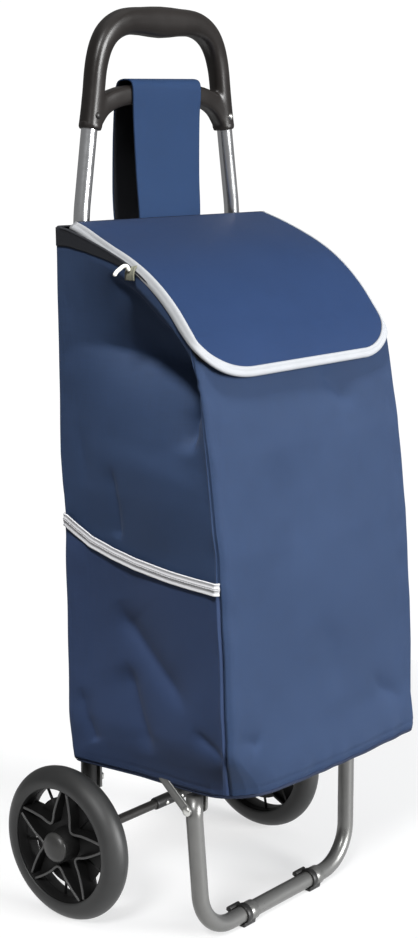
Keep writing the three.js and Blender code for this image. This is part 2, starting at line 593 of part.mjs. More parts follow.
// hanging strap: a wide band that loops over the brace of the handle
{
  const yf = HANDLE_Y - BRACE_T / 2 - 1.2, yb = HANDLE_Y + BRACE_T / 2 + 1.2;
  const line = [
    [-2.0, 701], [-1.2, 720], [yf, 780], [yf, 838.6], [yf + 1.5, 840.4], [HANDLE_Y - 4, 841.2], [HANDLE_Y + 4, 841.2],
    [yb - 1.5, 840.4], [yb, 838.6], [yb + 0.8, 780], [yb + 2.4, 706], [yb - 2, 670], [9, 620], [4, 596],
  ];
  const out = [];
  for (let i = 0; i < line.length; i++) {
    const a = line[Math.max(i - 1, 0)], b = line[Math.min(i + 1, line.length - 1)];
    const t = [b[0] - a[0], b[1] - a[1]], l = Math.hypot(...t);
    out.push([line[i][0] - (t[1] / l) * STRAP_T, line[i][1] + (t[0] / l) * STRAP_T]);
  }
  add('hanging_strap', acrossX(polygon([...line, ...out.reverse()]), -STRAP_HALF, STRAP_HALF), BLUE_CLOTH);
}

// small hook on a webbing tab, just under the left edge of the flap
{
  const x = -BAG_HALF - GAP;
  add('hook_tab', acrossX(polygon([[-92, 652], [-80, 652], [-80, 664], [-92, 660]]), x - 2, x), TAB_OLIVE);
  add('side_hook', tube(rounded([V(x - 4.2, -84.5, 654), V(x - 4.2, -84.5, 664.5), V(x - 13, -79, 663), V(x - 13, -79, 656)], [3, 3], 3), 1.8, 0, 8), HOOK_WHITE);
}

trolley.position.set(0, ORIGIN_Y, 0);

export default trolley;
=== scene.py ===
import json
import math

import bmesh
import bpy
import numpy as np
from mathutils import Matrix, Vector
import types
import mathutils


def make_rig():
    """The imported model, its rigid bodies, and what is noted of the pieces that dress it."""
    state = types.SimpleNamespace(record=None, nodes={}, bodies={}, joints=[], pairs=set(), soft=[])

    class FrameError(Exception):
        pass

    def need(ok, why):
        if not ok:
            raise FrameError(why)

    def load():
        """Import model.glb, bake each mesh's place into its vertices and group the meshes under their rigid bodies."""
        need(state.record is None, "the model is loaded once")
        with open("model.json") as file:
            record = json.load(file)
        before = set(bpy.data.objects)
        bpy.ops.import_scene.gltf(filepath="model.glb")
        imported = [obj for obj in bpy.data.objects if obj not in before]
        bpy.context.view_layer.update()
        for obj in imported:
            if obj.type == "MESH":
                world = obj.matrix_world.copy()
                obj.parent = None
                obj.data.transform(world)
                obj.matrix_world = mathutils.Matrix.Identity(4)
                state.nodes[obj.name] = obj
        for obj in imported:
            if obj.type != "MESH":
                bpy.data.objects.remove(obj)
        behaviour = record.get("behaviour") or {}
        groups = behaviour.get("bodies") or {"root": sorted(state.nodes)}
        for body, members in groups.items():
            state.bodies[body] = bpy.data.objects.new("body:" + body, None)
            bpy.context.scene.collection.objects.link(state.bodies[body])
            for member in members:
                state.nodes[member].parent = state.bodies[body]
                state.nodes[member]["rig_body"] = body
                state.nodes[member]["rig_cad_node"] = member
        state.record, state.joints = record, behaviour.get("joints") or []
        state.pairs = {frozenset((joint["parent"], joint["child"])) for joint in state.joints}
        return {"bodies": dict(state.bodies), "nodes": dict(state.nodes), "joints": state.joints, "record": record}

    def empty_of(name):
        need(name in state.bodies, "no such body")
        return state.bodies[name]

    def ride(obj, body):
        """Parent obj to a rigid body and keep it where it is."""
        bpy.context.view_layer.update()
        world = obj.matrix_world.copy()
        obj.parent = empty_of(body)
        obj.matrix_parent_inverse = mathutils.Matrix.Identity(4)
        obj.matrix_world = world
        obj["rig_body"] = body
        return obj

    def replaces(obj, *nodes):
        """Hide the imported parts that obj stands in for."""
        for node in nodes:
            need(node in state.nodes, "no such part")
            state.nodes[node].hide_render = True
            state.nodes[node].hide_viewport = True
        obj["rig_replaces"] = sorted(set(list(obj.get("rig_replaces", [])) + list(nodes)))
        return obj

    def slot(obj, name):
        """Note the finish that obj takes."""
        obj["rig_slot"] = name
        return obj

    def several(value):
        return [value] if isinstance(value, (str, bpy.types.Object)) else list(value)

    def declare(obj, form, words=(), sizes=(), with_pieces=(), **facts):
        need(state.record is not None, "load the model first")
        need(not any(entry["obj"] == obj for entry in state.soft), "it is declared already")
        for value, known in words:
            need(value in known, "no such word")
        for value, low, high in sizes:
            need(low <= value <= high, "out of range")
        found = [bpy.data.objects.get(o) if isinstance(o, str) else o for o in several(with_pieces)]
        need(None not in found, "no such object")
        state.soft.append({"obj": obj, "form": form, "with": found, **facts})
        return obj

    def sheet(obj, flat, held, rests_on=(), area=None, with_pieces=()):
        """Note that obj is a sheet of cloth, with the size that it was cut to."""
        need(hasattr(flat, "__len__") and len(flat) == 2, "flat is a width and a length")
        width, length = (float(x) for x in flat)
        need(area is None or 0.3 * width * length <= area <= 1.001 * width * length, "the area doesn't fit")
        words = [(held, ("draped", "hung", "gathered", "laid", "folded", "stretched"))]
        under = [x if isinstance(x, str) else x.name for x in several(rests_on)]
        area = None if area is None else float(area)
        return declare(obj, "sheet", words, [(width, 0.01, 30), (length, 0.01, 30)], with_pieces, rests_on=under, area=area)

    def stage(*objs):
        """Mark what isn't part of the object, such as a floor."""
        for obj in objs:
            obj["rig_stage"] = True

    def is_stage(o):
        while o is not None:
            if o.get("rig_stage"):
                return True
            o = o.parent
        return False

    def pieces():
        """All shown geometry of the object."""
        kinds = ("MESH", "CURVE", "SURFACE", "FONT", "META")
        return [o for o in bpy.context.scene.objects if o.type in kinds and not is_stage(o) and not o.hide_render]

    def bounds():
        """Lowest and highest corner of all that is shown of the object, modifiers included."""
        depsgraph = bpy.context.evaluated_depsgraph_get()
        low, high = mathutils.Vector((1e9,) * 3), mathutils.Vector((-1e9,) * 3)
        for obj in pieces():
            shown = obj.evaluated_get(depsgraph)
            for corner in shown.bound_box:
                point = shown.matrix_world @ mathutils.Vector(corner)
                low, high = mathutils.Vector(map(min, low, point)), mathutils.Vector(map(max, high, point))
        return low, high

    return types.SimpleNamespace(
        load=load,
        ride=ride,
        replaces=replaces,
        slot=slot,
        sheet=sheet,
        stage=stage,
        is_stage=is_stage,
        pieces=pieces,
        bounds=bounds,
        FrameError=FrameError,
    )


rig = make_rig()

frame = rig.load()
CAD_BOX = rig.bounds()

# ----------------------------------------------------------------- dimensions
# Working units are millimetres in the source's own drawing frame (axle over
# y = 0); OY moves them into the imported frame. to_m() does the conversion.
OY = 64.0
MM = 0.001

WHEEL_R, RIM_R, WHEEL_X, TYRE_W = 80.0, 61.6, 158.3, 29.0
HUB_R, HUB_X0, HUB_X1, CAP_R, CAP_X1 = 17.0, 141.6, 174.0, 15.5, 182.0
AXLE_R, AXLE_Z, AXLE_HALF, SLEEVE_R, SLEEVE_HALF = 5.0, 80.0, 173.0, 6.6, 26.0
TUBE_R, POST_X, POST_Y, POST_Z0 = 8.0, 115.0, 10.0, 88.0
BEND_Z0, BEND_Z1, LEAN, POST_TOP = 692.0, 722.0, 0.151, 832.0
HANDLE_Y, HANDLE_T, BRACE_T = 10.0, 25.0, 18.0
ARM_X, ARM_R, ARM_Z, BAR_R = 126.0, 8.0, 170.0, 6.0
PLAT_Y0, PLAT_Y1, PLAT_BEND = -14.0, -188.0, 30.0
PIN_Y, PIN_Z, PIN_R = -143.0, 144.5, 3.0
LEG_R, LEG_X_TOP, LEG_X_BOT = 8.5, 126.0, 119.5
FOOT_Y, FOOT_Z, LEG_BEND, LEG_TOP_Z, CLIP_X = -148.0, 10.5, 45.0, 157.0, 55.0
BAG_HALF, BAG_Z0 = 150.0, 166.0
GAP = 0.3
SIDES = (("left", -1.0), ("right", 1.0))


def to_m(p):
    a = np.asarray(p, float).reshape(-1, 3).copy()
    a[:, 1] += OY
    return a * MM


# -------------------------------------------------------------------- helpers
def smoothstep(a, b, x):
    t = np.clip((np.asarray(x, float) - a) / (b - a), 0.0, 1.0)
    return t * t * (3 - 2 * t)


def link(ob):
    bpy.context.scene.collection.objects.link(ob)
    return ob


def make(name, verts, faces, mats, smooth=True, uv=None, mat_index=None):
    """Mesh object from millimetre vertices. uv is per vertex, in metres."""
    me = bpy.data.meshes.new(name)
    me.from_pydata([tuple(v) for v in to_m(verts)], [], [tuple(int(i) for i in f) for f in faces])
    me.validate(verbose=False)
    for m in (mats if isinstance(mats, (list, tuple)) else [mats]):
        me.materials.append(m)
    if mat_index is not None:
        me.polygons.foreach_set("material_index", np.asarray(mat_index, np.int32))
    if uv is not None:
        layer = me.uv_layers.new(name="UVMap")
        idx = np.zeros(len(me.loops), np.int32)
        me.loops.foreach_get("vertex_index", idx)
        layer.data.foreach_set("uv", np.asarray(uv, np.float32)[idx].reshape(-1))
    me.polygons.foreach_set("use_smooth", [smooth] * len(me.polygons))
    me.update()
    return link(bpy.data.objects.new(name, me))


def outward(ob):
    bm = bmesh.new()
    bm.from_mesh(ob.data)
    bmesh.ops.recalc_face_normals(bm, faces=bm.faces)
    bm.to_mesh(ob.data)
    bm.free()
    return ob


def grid(nu, nv, closed_u=False):
    """Quad faces of an nu by nv grid of vertices, index = j * nu + i."""
    faces = []
    for j in range(nv - 1):
        for i in range(nu if closed_u else nu - 1):
            k = (i + 1) % nu
            faces.append((j * nu + i, j * nu + k, (j + 1) * nu + k, (j + 1) * nu + i))
    return faces


def join(name, parts, mat_list=None):
    """Joins objects into one mesh without operators."""
    bm = bmesh.new()
    mats = []
    for p in parts:
        start = len(bm.faces)
        offset = len(mats)
        bm.from_mesh(p.data)
        bm.faces.ensure_lookup_table()
        for f in bm.faces[start:]:
            f.material_index += offset
        mats += list(p.data.materials)
    me = bpy.data.meshes.new(name)
    bm.to_mesh(me)
    bm.free()
    for m in mats:
        me.materials.append(m)
    for p in parts:
        bpy.data.objects.remove(p)
    return link(bpy.data.objects.new(name, me))


def apply_all(ob):
    """Replaces the object's mesh by its evaluated mesh, modifiers applied."""
    bpy.context.view_layer.update()
    dg = bpy.context.evaluated_depsgraph_get()
    me = bpy.data.meshes.new_from_object(ob.evaluated_get(dg))
    ob.modifiers.clear()
    old = ob.data
    ob.data = me
    bpy.data.meshes.remove(old)
    return ob


def auto_bevel(ob, width=0.6, segments=3, angle=35):
    m = ob.modifiers.new("edge", "BEVEL")
    m.width = width * MM
    m.segments = segments
    m.limit_method = "ANGLE"
    m.angle_limit = math.radians(angle)
    m.harden_normals = False
    apply_all(ob)
    sharpen(ob, 50)
    return ob


def sharpen(ob, angle=40):
    """Smooth faces, with edges over the angle kept sharp."""
    me = ob.data
    me.polygons.foreach_set("use_smooth", [True] * len(me.polygons))
    bm = bmesh.new()
    bm.from_mesh(me)
    lim = math.radians(angle)
    for e in bm.edges:
        e.smooth = not (len(e.link_faces) == 2 and e.calc_face_angle(0) > lim)
    bm.to_mesh(me)
    bm.free()
    return ob


def frames_along(path):
    """Unit tangents and two parallel-carried normals along a polyline."""
    p = np.asarray(path, float)
    t = np.zeros_like(p)
    t[1:-1] = p[2:] - p[:-2]
    t[0], t[-1] = p[1] - p[0], p[-1] - p[-2]
    t /= np.linalg.norm(t, axis=1)[:, None]
    up = np.array([0.0, 1.0, 0.0]) if abs(t[0][1]) < 0.9 else np.array([1.0, 0.0, 0.0])
    n = np.zeros_like(p)
    n[0] = up - (up @ t[0]) * t[0]
    n[0] /= np.linalg.norm(n[0])
    for i in range(1, len(p)):
        v = n[i - 1] - (n[i - 1] @ t[i]) * t[i]
        n[i] = v / np.linalg.norm(v)
    return t, n, np.cross(t, n)


def sweep(name, path, radius, mat, sides=40, caps=True, squash=(1.0, 1.0)):
    """Round tube on a path. radius is one number or one per station."""
    p = np.asarray(path, float)
    r = np.full(len(p), float(radius)) if np.isscalar(radius) else np.asarray(radius, float)
    _, n, b = frames_along(p)
    a = np.linspace(0, 2 * math.pi, sides, endpoint=False)
    verts, uv = [], []
    length = np.concatenate([[0], np.cumsum(np.linalg.norm(np.diff(p, axis=0), axis=1))])
    for i in range(len(p)):
        verts.append(p[i] + r[i] * (squash[0] * np.cos(a)[:, None] * n[i] + squash[1] * np.sin(a)[:, None] * b[i]))
        uv.append(np.stack([a * r[i], np.full(sides, length[i])], 1) * MM)
    verts = np.concatenate(verts)
    faces = grid(sides, len(p), True)
    if caps:
        faces.append(tuple(range(sides - 1, -1, -1)))
        faces.append(tuple((len(p) - 1) * sides + k for k in range(sides)))
    return outward(make(name, verts, faces, mat, uv=np.concatenate(uv)))


def resample(points, step):
    """Catmull-Rom curve through the points, sampled about every step."""
    p = np.asarray(points, float)
    q = np.vstack([2 * p[0] - p[1], p, 2 * p[-1] - p[-2]])
    out = []
    for i in range(1, len(q) - 2):
        seg = np.linalg.norm(q[i + 1] - q[i])
        n = max(2, int(math.ceil(seg / step)))
        for k in range(n):
            t = k / n
            out.append(0.5 * ((2 * q[i]) + (-q[i - 1] + q[i + 1]) * t + (2 * q[i - 1] - 5 * q[i] + 4 * q[i + 1] - q[i + 2]) * t * t
                              + (-q[i - 1] + 3 * q[i] - 3 * q[i + 1] + q[i + 2]) * t ** 3))
    out.append(q[-2])
    return np.array(out)


def rounded(points, radii, steps=16):
    """Polyline with its inner corners rounded to the given radii."""
    pts = [np.asarray(p, float) for p in points]
    out = [pts[0]]
    for i in range(1, len(pts) - 1):
        p = pts[i]
        a = (pts[i - 1] - p) / np.linalg.norm(pts[i - 1] - p)
        b = (pts[i + 1] - p) / np.linalg.norm(pts[i + 1] - p)
        r = radii[i - 1]
        ang = math.acos(max(-1, min(1, float(a @ b))))
        d = r / math.tan(ang / 2)
        bis = (a + b) / np.linalg.norm(a + b)
        c = p + bis * (r / math.sin(ang / 2))
        s, e = p + a * d - c, p + b * d - c
        sw = math.acos(max(-1, min(1, float(s @ e) / (r * r))))
        for k in range(steps + 1):
            t = k / steps
            out.append(c + s * math.sin((1 - t) * sw) / math.sin(sw) + e * math.sin(t * sw) / math.sin(sw))
    out.append(pts[-1])
    # even out the long straight runs
    dense = [out[0]]
    for a, b in zip(out[:-1], out[1:]):
        n = max(1, int(np.linalg.norm(b - a) // 12))
        for k in range(1, n + 1):
            dense.append(a + (b - a) * k / n)
    return np.array(dense)


def turned_x(name, profile, y, z, mat, sides=72, sharp=40):
    """Profile of (radius, x) pairs turned about a line parallel to X. A profile
    that starts and ends off the axis closes on itself."""
    prof = [(float(r), float(x)) for r, x in profile]
    on_axis = prof[0][0] < 1e-6 and prof[-1][0] < 1e-6
    a = np.linspace(0, 2 * math.pi, sides, endpoint=False)
    verts, faces = [], []
    rows = []
    for r, x in prof:
        if r < 1e-6:
            rows.append([len(verts)])
            verts.append((x, y, z))
        else:
            rows.append(list(range(len(verts), len(verts) + sides)))
            verts += [(x, y + r * math.cos(t), z + r * math.sin(t)) for t in a]
    pairs = list(zip(rows[:-1], rows[1:]))
    if not on_axis:
        pairs.append((rows[-1], rows[0]))
    for p, q in pairs:
        for i in range(sides):
            k = (i + 1) % sides
            if len(p) == 1 and len(q) == 1:
                continue
            if len(p) == 1:
                faces.append((p[0], q[i], q[k]))
            elif len(q) == 1:
                faces.append((p[i], p[k], q[0]))
            else:
                faces.append((p[i], p[k], q[k], q[i]))
    ob = outward(make(name, verts, faces, mat))
    return sharpen(ob, sharp)


def plate_x(name, outline, x0, x1, mat, holes=(), bevel=0.5, segments=2):
    """Plate with a (y, z) outline between x0 and x1, round holes (y, z, r)."""
    bm = bmesh.new()
    loops = [[(p[0], p[1]) for p in outline]]
    for (hy, hz, hr) in holes:
        loops.append([(hy + hr * math.cos(t), hz + hr * math.sin(t)) for t in np.linspace(0, 2 * math.pi, 32, endpoint=False)])
    edges = []
    for lp in loops:
        vs = [bm.verts.new(((x0) * MM, (p[0] + OY) * MM, p[1] * MM)) for p in lp]
        edges += [bm.edges.new((vs[i], vs[(i + 1) % len(vs)])) for i in range(len(vs))]
    bmesh.ops.triangle_fill(bm, edges=edges, use_beauty=True, use_dissolve=False)
    bmesh.ops.dissolve_limit(bm, angle_limit=0.01, verts=bm.verts, edges=bm.edges)
    got = bmesh.ops.extrude_face_region(bm, geom=list(bm.faces))
    vs = [g for g in got["geom"] if isinstance(g, bmesh.types.BMVert)]
    bmesh.ops.translate(bm, vec=((x1 - x0) * MM, 0, 0), verts=vs)
    bmesh.ops.recalc_face_normals(bm, faces=bm.faces)
    me = bpy.data.meshes.new(name)
    bm.to_mesh(me)
    bm.free()
    me.materials.append(mat)
    ob = link(bpy.data.objects.new(name, me))
    if bevel > 0:
        auto_bevel(ob, bevel, segments, 40)
    return ob


def noise3(p, seed, scale):
    """Smooth deterministic noise at millimetre points, about -1..1."""
    rng = np.random.RandomState(seed)
    out = np.zeros(len(p))
    total = 0
    for k in range(10):
        d = rng.normal(size=3)
        d /= np.linalg.norm(d)
        f = (0.6 + 1.1 * rng.rand()) / scale * 2 * math.pi
        out += np.sin(p @ d * f + rng.rand() * 6.28)
        total += 1
    return out / math.sqrt(total) * 0.8


# ------------------------------------------------------------------ materials
def material(name, base, rough=0.5, metal=0.0, **sockets):
    m = bpy.data.materials.new(name)
    m.use_nodes = True
    nt = m.node_tree
    b = nt.nodes["Principled BSDF"]
    b.inputs["Base Color"].default_value = (*base, 1)
    b.inputs["Roughness"].default_value = rough
    b.inputs["Metallic"].default_value = metal
    for k, v in sockets.items():
        b.inputs[k.replace("_", " ")].default_value = v
    return m, nt, b


def node(nt, kind, **props):
    n = nt.nodes.new(kind)
    for k, v in props.items():
        if k.startswith("in_"):
            key = k[3:]
            n.inputs[int(key) if key.isdigit() else key].default_value = v
        else:
            setattr(n, k, v)
    return n


def math_node(nt, op, a, b=None, c=None):
    n = nt.nodes.new("ShaderNodeMath")
    n.operation = op
    for i, v in enumerate((a, b, c)):
        if v is None:
            continue
        if isinstance(v, (int, float)):
            n.inputs[i].default_value = v
        else:
            nt.links.new(v, n.inputs[i])
    return n.outputs[0]


def mix_colour(nt, fac, a, b):
    n = nt.nodes.new("ShaderNodeMix")
    n.data_type = "RGBA"
    if isinstance(fac, (int, float)):
        n.inputs[0].default_value = fac
    else:
        nt.links.new(fac, n.inputs[0])
    for sock, v in ((6, a), (7, b)):
        if isinstance(v, tuple):
            n.inputs[sock].default_value = (*v, 1) if len(v) == 3 else v
        else:
            nt.links.new(v, n.inputs[sock])
    return n.outputs[2]


def bump(nt, bsdf, height, strength, distance, normal=None):
    n = nt.nodes.new("ShaderNodeBump")
    n.inputs["Strength"].default_value = strength
    n.inputs["Distance"].default_value = distance
    nt.links.new(height, n.inputs["Height"])
    if normal is not None:
        nt.links.new(normal, n.inputs["Normal"])
    if bsdf is not None:
        nt.links.new(n.outputs[0], bsdf.inputs["Normal"])
    return n.outputs[0]


def noise_tex(nt, coord, scale, detail=3.0, rough=0.5):
    n = node(nt, "ShaderNodeTexNoise")
    n.inputs["Scale"].default_value = scale
    n.inputs["Detail"].default_value = detail
    n.inputs["Roughness"].default_value = rough
    nt.links.new(coord, n.inputs["Vector"])
    return n.outputs["Fac"]


def ramp(nt, fac, lo, hi, a=0.0, b=1.0):
    n = nt.nodes.new("ShaderNodeMapRange")
    n.inputs["From Min"].default_value = lo
    n.inputs["From Max"].default_value = hi
    n.inputs["To Min"].default_value = a
    n.inputs["To Max"].default_value = b
    nt.links.new(fac, n.inputs["Value"])
    return n.outputs[0]


def cloth_material(name, base, pitch=0.00075, rough=0.64, variation=0.16, sheen=0.03, weave=0.55, fade=0.25):
    """Plain-woven polyester: warp and weft of the given pitch from UVs in
    metres, with slubs, slight fading in patches and a faint sheen."""
    m, nt, b = material(name, base, rough)
    b.inputs["Sheen Weight"].default_value = sheen
    b.inputs["Sheen Roughness"].default_value = 0.5
    b.inputs["Specular IOR Level"].default_value = 0.16
    uvn = nt.nodes.new("ShaderNodeUVMap")
    uvn.uv_map = "UVMap"
    sep = nt.nodes.new("ShaderNodeSeparateXYZ")
    nt.links.new(uvn.outputs[0], sep.inputs[0])
    k = math.pi / pitch
    tc = nt.nodes.new("ShaderNodeTexCoord")
    obj = tc.outputs["Object"]
    # yarn wander keeps the grid from looking ruled
    wander = noise_tex(nt, obj, 90.0, 2.0)
    wx = math_node(nt, "MULTIPLY_ADD", wander, 0.0007, sep.outputs["X"])
    wy = math_node(nt, "MULTIPLY_ADD", wander, -0.0007, sep.outputs["Y"])
    su = math_node(nt, "SINE", math_node(nt, "MULTIPLY", wx, k))
    sv = math_node(nt, "SINE", math_node(nt, "MULTIPLY", wy, k))
    over = math_node(nt, "MULTIPLY", su, sv)
    au = math_node(nt, "ABSOLUTE", su)
    av = math_node(nt, "ABSOLUTE", sv)
    warp = math_node(nt, "MULTIPLY", au, ramp(nt, over, -0.15, 0.15))
    weft = math_node(nt, "MULTIPLY", av, ramp(nt, over, 0.15, -0.15))
    height = math_node(nt, "MAXIMUM", warp, weft)
    # slubs: thicker threads here and there, both ways
    mp1 = nt.nodes.new("ShaderNodeMapping")
    mp1.inputs["Scale"].default_value = (40, 1400, 1)
    nt.links.new(uvn.outputs[0], mp1.inputs[0])
    mp2 = nt.nodes.new("ShaderNodeMapping")
    mp2.inputs["Scale"].default_value = (1400, 40, 1)
    nt.links.new(uvn.outputs[0], mp2.inputs[0])
    s1 = noise_tex(nt, mp1.outputs[0], 1.0, 1.0)
    s2 = noise_tex(nt, mp2.outputs[0], 1.0, 1.0)
    slub = math_node(nt, "MULTIPLY", math_node(nt, "ADD", s1, s2), 0.5)
    tone = ramp(nt, slub, 0.3, 0.7)
    patch = ramp(nt, noise_tex(nt, obj, 9.0, 4.0, 0.55), 0.3, 0.75)
    dark = tuple(c * (1 - variation) for c in base)
    light = tuple(min(1.0, c * (1 + variation)) for c in base)
    faded = tuple(min(1.0, c * (1 + fade) + 0.002) for c in base)
    col = mix_colour(nt, tone, dark, light)
    col = mix_colour(nt, math_node(nt, "MULTIPLY", patch, 0.5), col, faded)
    # painted shade: the gaps between yarns are painted darker, as the shade that falls between them
    yarn_gap_shade = ramp(nt, height, 0.1, 0.6, 0.72, 1.0)
    yarn_gap_shaded_colour = mix_colour(nt, yarn_gap_shade, tuple(c * 0.45 for c in base), col)
    nt.links.new(yarn_gap_shaded_colour, b.inputs["Base Color"])
    nt.links.new(ramp(nt, slub, 0.3, 0.7, rough - 0.06, min(1.0, rough + 0.06)), b.inputs["Roughness"])
    n1 = bump(nt, None, height, weave, 0.00022)
    n2 = bump(nt, None, slub, 0.35, 0.00025, n1)
    bump(nt, b, noise_tex(nt, obj, 55.0, 3.0), 0.10, 0.0012, n2)
    return m


def tape_material(name, base, groove, ribs=0.0011, lines=(0.32, 0.68), rough=0.62):
    """Woven binding tape: UV x along its length in metres, UV y across, 0..1."""
    m, nt, b = material(name, base, rough)
    b.inputs["Sheen Weight"].default_value = 0.08
    uvn = nt.nodes.new("ShaderNodeUVMap")
    uvn.uv_map = "UVMap"
    sep = nt.nodes.new("ShaderNodeSeparateXYZ")
    nt.links.new(uvn.outputs[0], sep.inputs[0])
    tc = nt.nodes.new("ShaderNodeTexCoord")
    su = math_node(nt, "ABSOLUTE", math_node(nt, "SINE", math_node(nt, "MULTIPLY", sep.outputs["X"], math.pi / ribs)))
    across = math_node(nt, "ABSOLUTE", math_node(nt, "SINE", math_node(nt, "MULTIPLY", sep.outputs["Y"], math.pi * 9)))
    # a sewn line is a narrow groove with stitches in it; the groove is painted darker, as shade
    total = None
    for y in lines:
        d = math_node(nt, "ABSOLUTE", math_node(nt, "SUBTRACT", sep.outputs["Y"], y))
        g = ramp(nt, d, 0.015, 0.06, 1.0, 0.0)
        total = g if total is None else math_node(nt, "MAXIMUM", total, g)
    stitch = ramp(nt, math_node(nt, "SINE", math_node(nt, "MULTIPLY", sep.outputs["X"], math.pi * 2 / 0.0032)), -0.75, -0.35)
    if total is None:
        total = ramp(nt, sep.outputs["Y"], 2.0, 3.0)
    seam = math_node(nt, "MULTIPLY", total, 1.0)
    wear = ramp(nt, noise_tex(nt, tc.outputs["Object"], 60.0, 4.0), 0.35, 0.7)
    col = mix_colour(nt, math_node(nt, "MULTIPLY", wear, 0.35), base, tuple(c * 0.82 for c in base))
    # painted shade: the sewn lines take the dark groove colour, a little less where the stitches lie
    col = mix_colour(nt, math_node(nt, "MULTIPLY", seam, math_node(nt, "SUBTRACT", 1.0, math_node(nt, "MULTIPLY", stitch, 0.45))), col, groove)
    nt.links.new(col, b.inputs["Base Color"])
    h = math_node(nt, "ADD", math_node(nt, "MULTIPLY", su, 0.6), math_node(nt, "MULTIPLY", across, 0.25))
    n1 = bump(nt, None, h, 0.5, 0.0002)
    bump(nt, b, math_node(nt, "SUBTRACT", 1.0, seam), 0.6, 0.0006, n1)
    return m


def moulded_material(name, base, rough, grain=1400.0, depth=0.00006, coat=0.0, worn=0.3, edge=1.0):
    """Moulded plastic or rubber: fine spark grain, faint flow marks and rubbed edges that are a little lighter."""
    m, nt, b = material(name, base, rough)
    b.inputs["Specular IOR Level"].default_value = 0.36
    if coat:
        b.inputs["Coat Weight"].default_value = coat
        b.inputs["Coat Roughness"].default_value = 0.25
    tc = nt.nodes.new("ShaderNodeTexCoord")
    obj = tc.outputs["Object"]
    fine = noise_tex(nt, obj, grain, 2.0, 0.6)
    flow = noise_tex(nt, obj, 22.0, 4.0, 0.6)
    geo = nt.nodes.new("ShaderNodeNewGeometry")
    rub = math_node(nt, "MULTIPLY", ramp(nt, geo.outputs["Pointiness"], 0.52, 0.60), edge)
    light = tuple(min(1.0, c * 1.9 + 0.012) for c in base)
    col = mix_colour(nt, ramp(nt, flow, 0.35, 0.7), tuple(c * 0.86 for c in base), tuple(min(1, c * 1.14) for c in base))
    col = mix_colour(nt, math_node(nt, "MULTIPLY", rub, worn), col, light)
    nt.links.new(col, b.inputs["Base Color"])
    r = math_node(nt, "ADD", ramp(nt, flow, 0.3, 0.7, rough - 0.05, rough + 0.06), math_node(nt, "MULTIPLY", fine, 0.04))
    nt.links.new(r, b.inputs["Roughness"])
    bump(nt, b, fine, 0.6, depth)
    return m


def metal_material(name, base, rough, brushed=0.25, metal=1.0, spots=0.15, scale=(6, 6, 900), paint=False):
    """Plated or enamelled steel: drawing lines along the tube, cloudy
    roughness, fingerprints and small pits."""
    m, nt, b = material(name, base, rough, metal)
    tc = nt.nodes.new("ShaderNodeTexCoord")
    obj = tc.outputs["Object"]
    mp = nt.nodes.new("ShaderNodeMapping")
    mp.inputs["Scale"].default_value = scale
    nt.links.new(obj, mp.inputs[0])
    lines = noise_tex(nt, mp.outputs[0], 1.0, 3.0)
    cloud = noise_tex(nt, obj, 28.0, 5.0, 0.6)
    pits = noise_tex(nt, obj, 420.0, 2.0)
    col = mix_colour(nt, ramp(nt, cloud, 0.35, 0.7), base, tuple(c * (1 - spots) for c in base))
    spot = ramp(nt, pits, 0.70, 0.78)
    col = mix_colour(nt, math_node(nt, "MULTIPLY", spot, 0.5), col, tuple(c * 0.45 for c in base))
    nt.links.new(col, b.inputs["Base Color"])
    r = math_node(nt, "ADD", ramp(nt, cloud, 0.3, 0.7, rough * 0.8, rough * 1.3), math_node(nt, "MULTIPLY", lines, 0.05))
    nt.links.new(r, b.inputs["Roughness"])
    n1 = bump(nt, None, lines, brushed, 0.00003)
    bump(nt, b, noise_tex(nt, obj, 900.0 if paint else 260.0, 2.0), 0.25 if paint else 0.08, 0.00006, n1)
    return m


NAVY = (0.0168, 0.0335, 0.0775)
M_CLOTH = cloth_material("bag_cloth", NAVY)
M_FLAP = cloth_material("flap_cloth", (0.0134, 0.0348, 0.0995))
M_STRAP = cloth_material("strap_cloth", (0.0095, 0.0285, 0.078), pitch=0.0009)
M_POCKET = cloth_material("pocket_cloth", (0.0165, 0.031, 0.076))
M_LINING = cloth_material("lining_cloth", (0.010, 0.011, 0.014), pitch=0.0006, sheen=0.02, rough=0.7)
M_PIPING = cloth_material("piping_cloth", (0.010, 0.016, 0.036), pitch=0.0012)
# the second colour of each tape is painted shade for its sewn grooves; the flap binding has no sewn lines, so its
# groove colour is not shown
M_BINDING = tape_material("flap_binding_tape", (0.36, 0.37, 0.385), (0.12, 0.125, 0.135), lines=())
M_TAPE = tape_material("pocket_tape", (0.46, 0.46, 0.475), (0.16, 0.16, 0.17), lines=(0.44, 0.56))
M_THREAD = cloth_material("stitch_thread", (0.016, 0.026, 0.066), pitch=0.0005, weave=0.3)
M_CHROME = metal_material("upright_chrome", (0.74, 0.75, 0.77), 0.20, brushed=0.12, spots=0.05)
M_GREY = metal_material("frame_enamel", (0.17, 0.17, 0.165), 0.30, brushed=0.15, metal=0.6, paint=True)
M_ZINC = metal_material("zinc_plate", (0.66, 0.66, 0.63), 0.3, brushed=0.2, spots=0.25, scale=(200, 200, 200))
M_HANDLE = moulded_material("handle_plastic", (0.0125, 0.0105, 0.0095), 0.34)
M_BLACK = moulded_material("fitting_plastic", (0.010, 0.010, 0.010), 0.42)
M_AXLE = metal_material("axle_enamel", (0.014, 0.013, 0.012), 0.4, brushed=0.1, metal=0.1, paint=True)
M_RIM = moulded_material("rim_plastic", (0.017, 0.017, 0.017), 0.36, worn=0.9)
# near-black copy of the rim plastic: painted shade on the barrel, window walls, webs, ribs, channels and hub
M_RIM_PAINTED_SHADE = moulded_material("rim_plastic_recess", (0.0025, 0.0025, 0.0025), 0.62, worn=0.0)
M_CAP = moulded_material("hub_cap_plastic", (0.036, 0.036, 0.035), 0.34, worn=0.6)
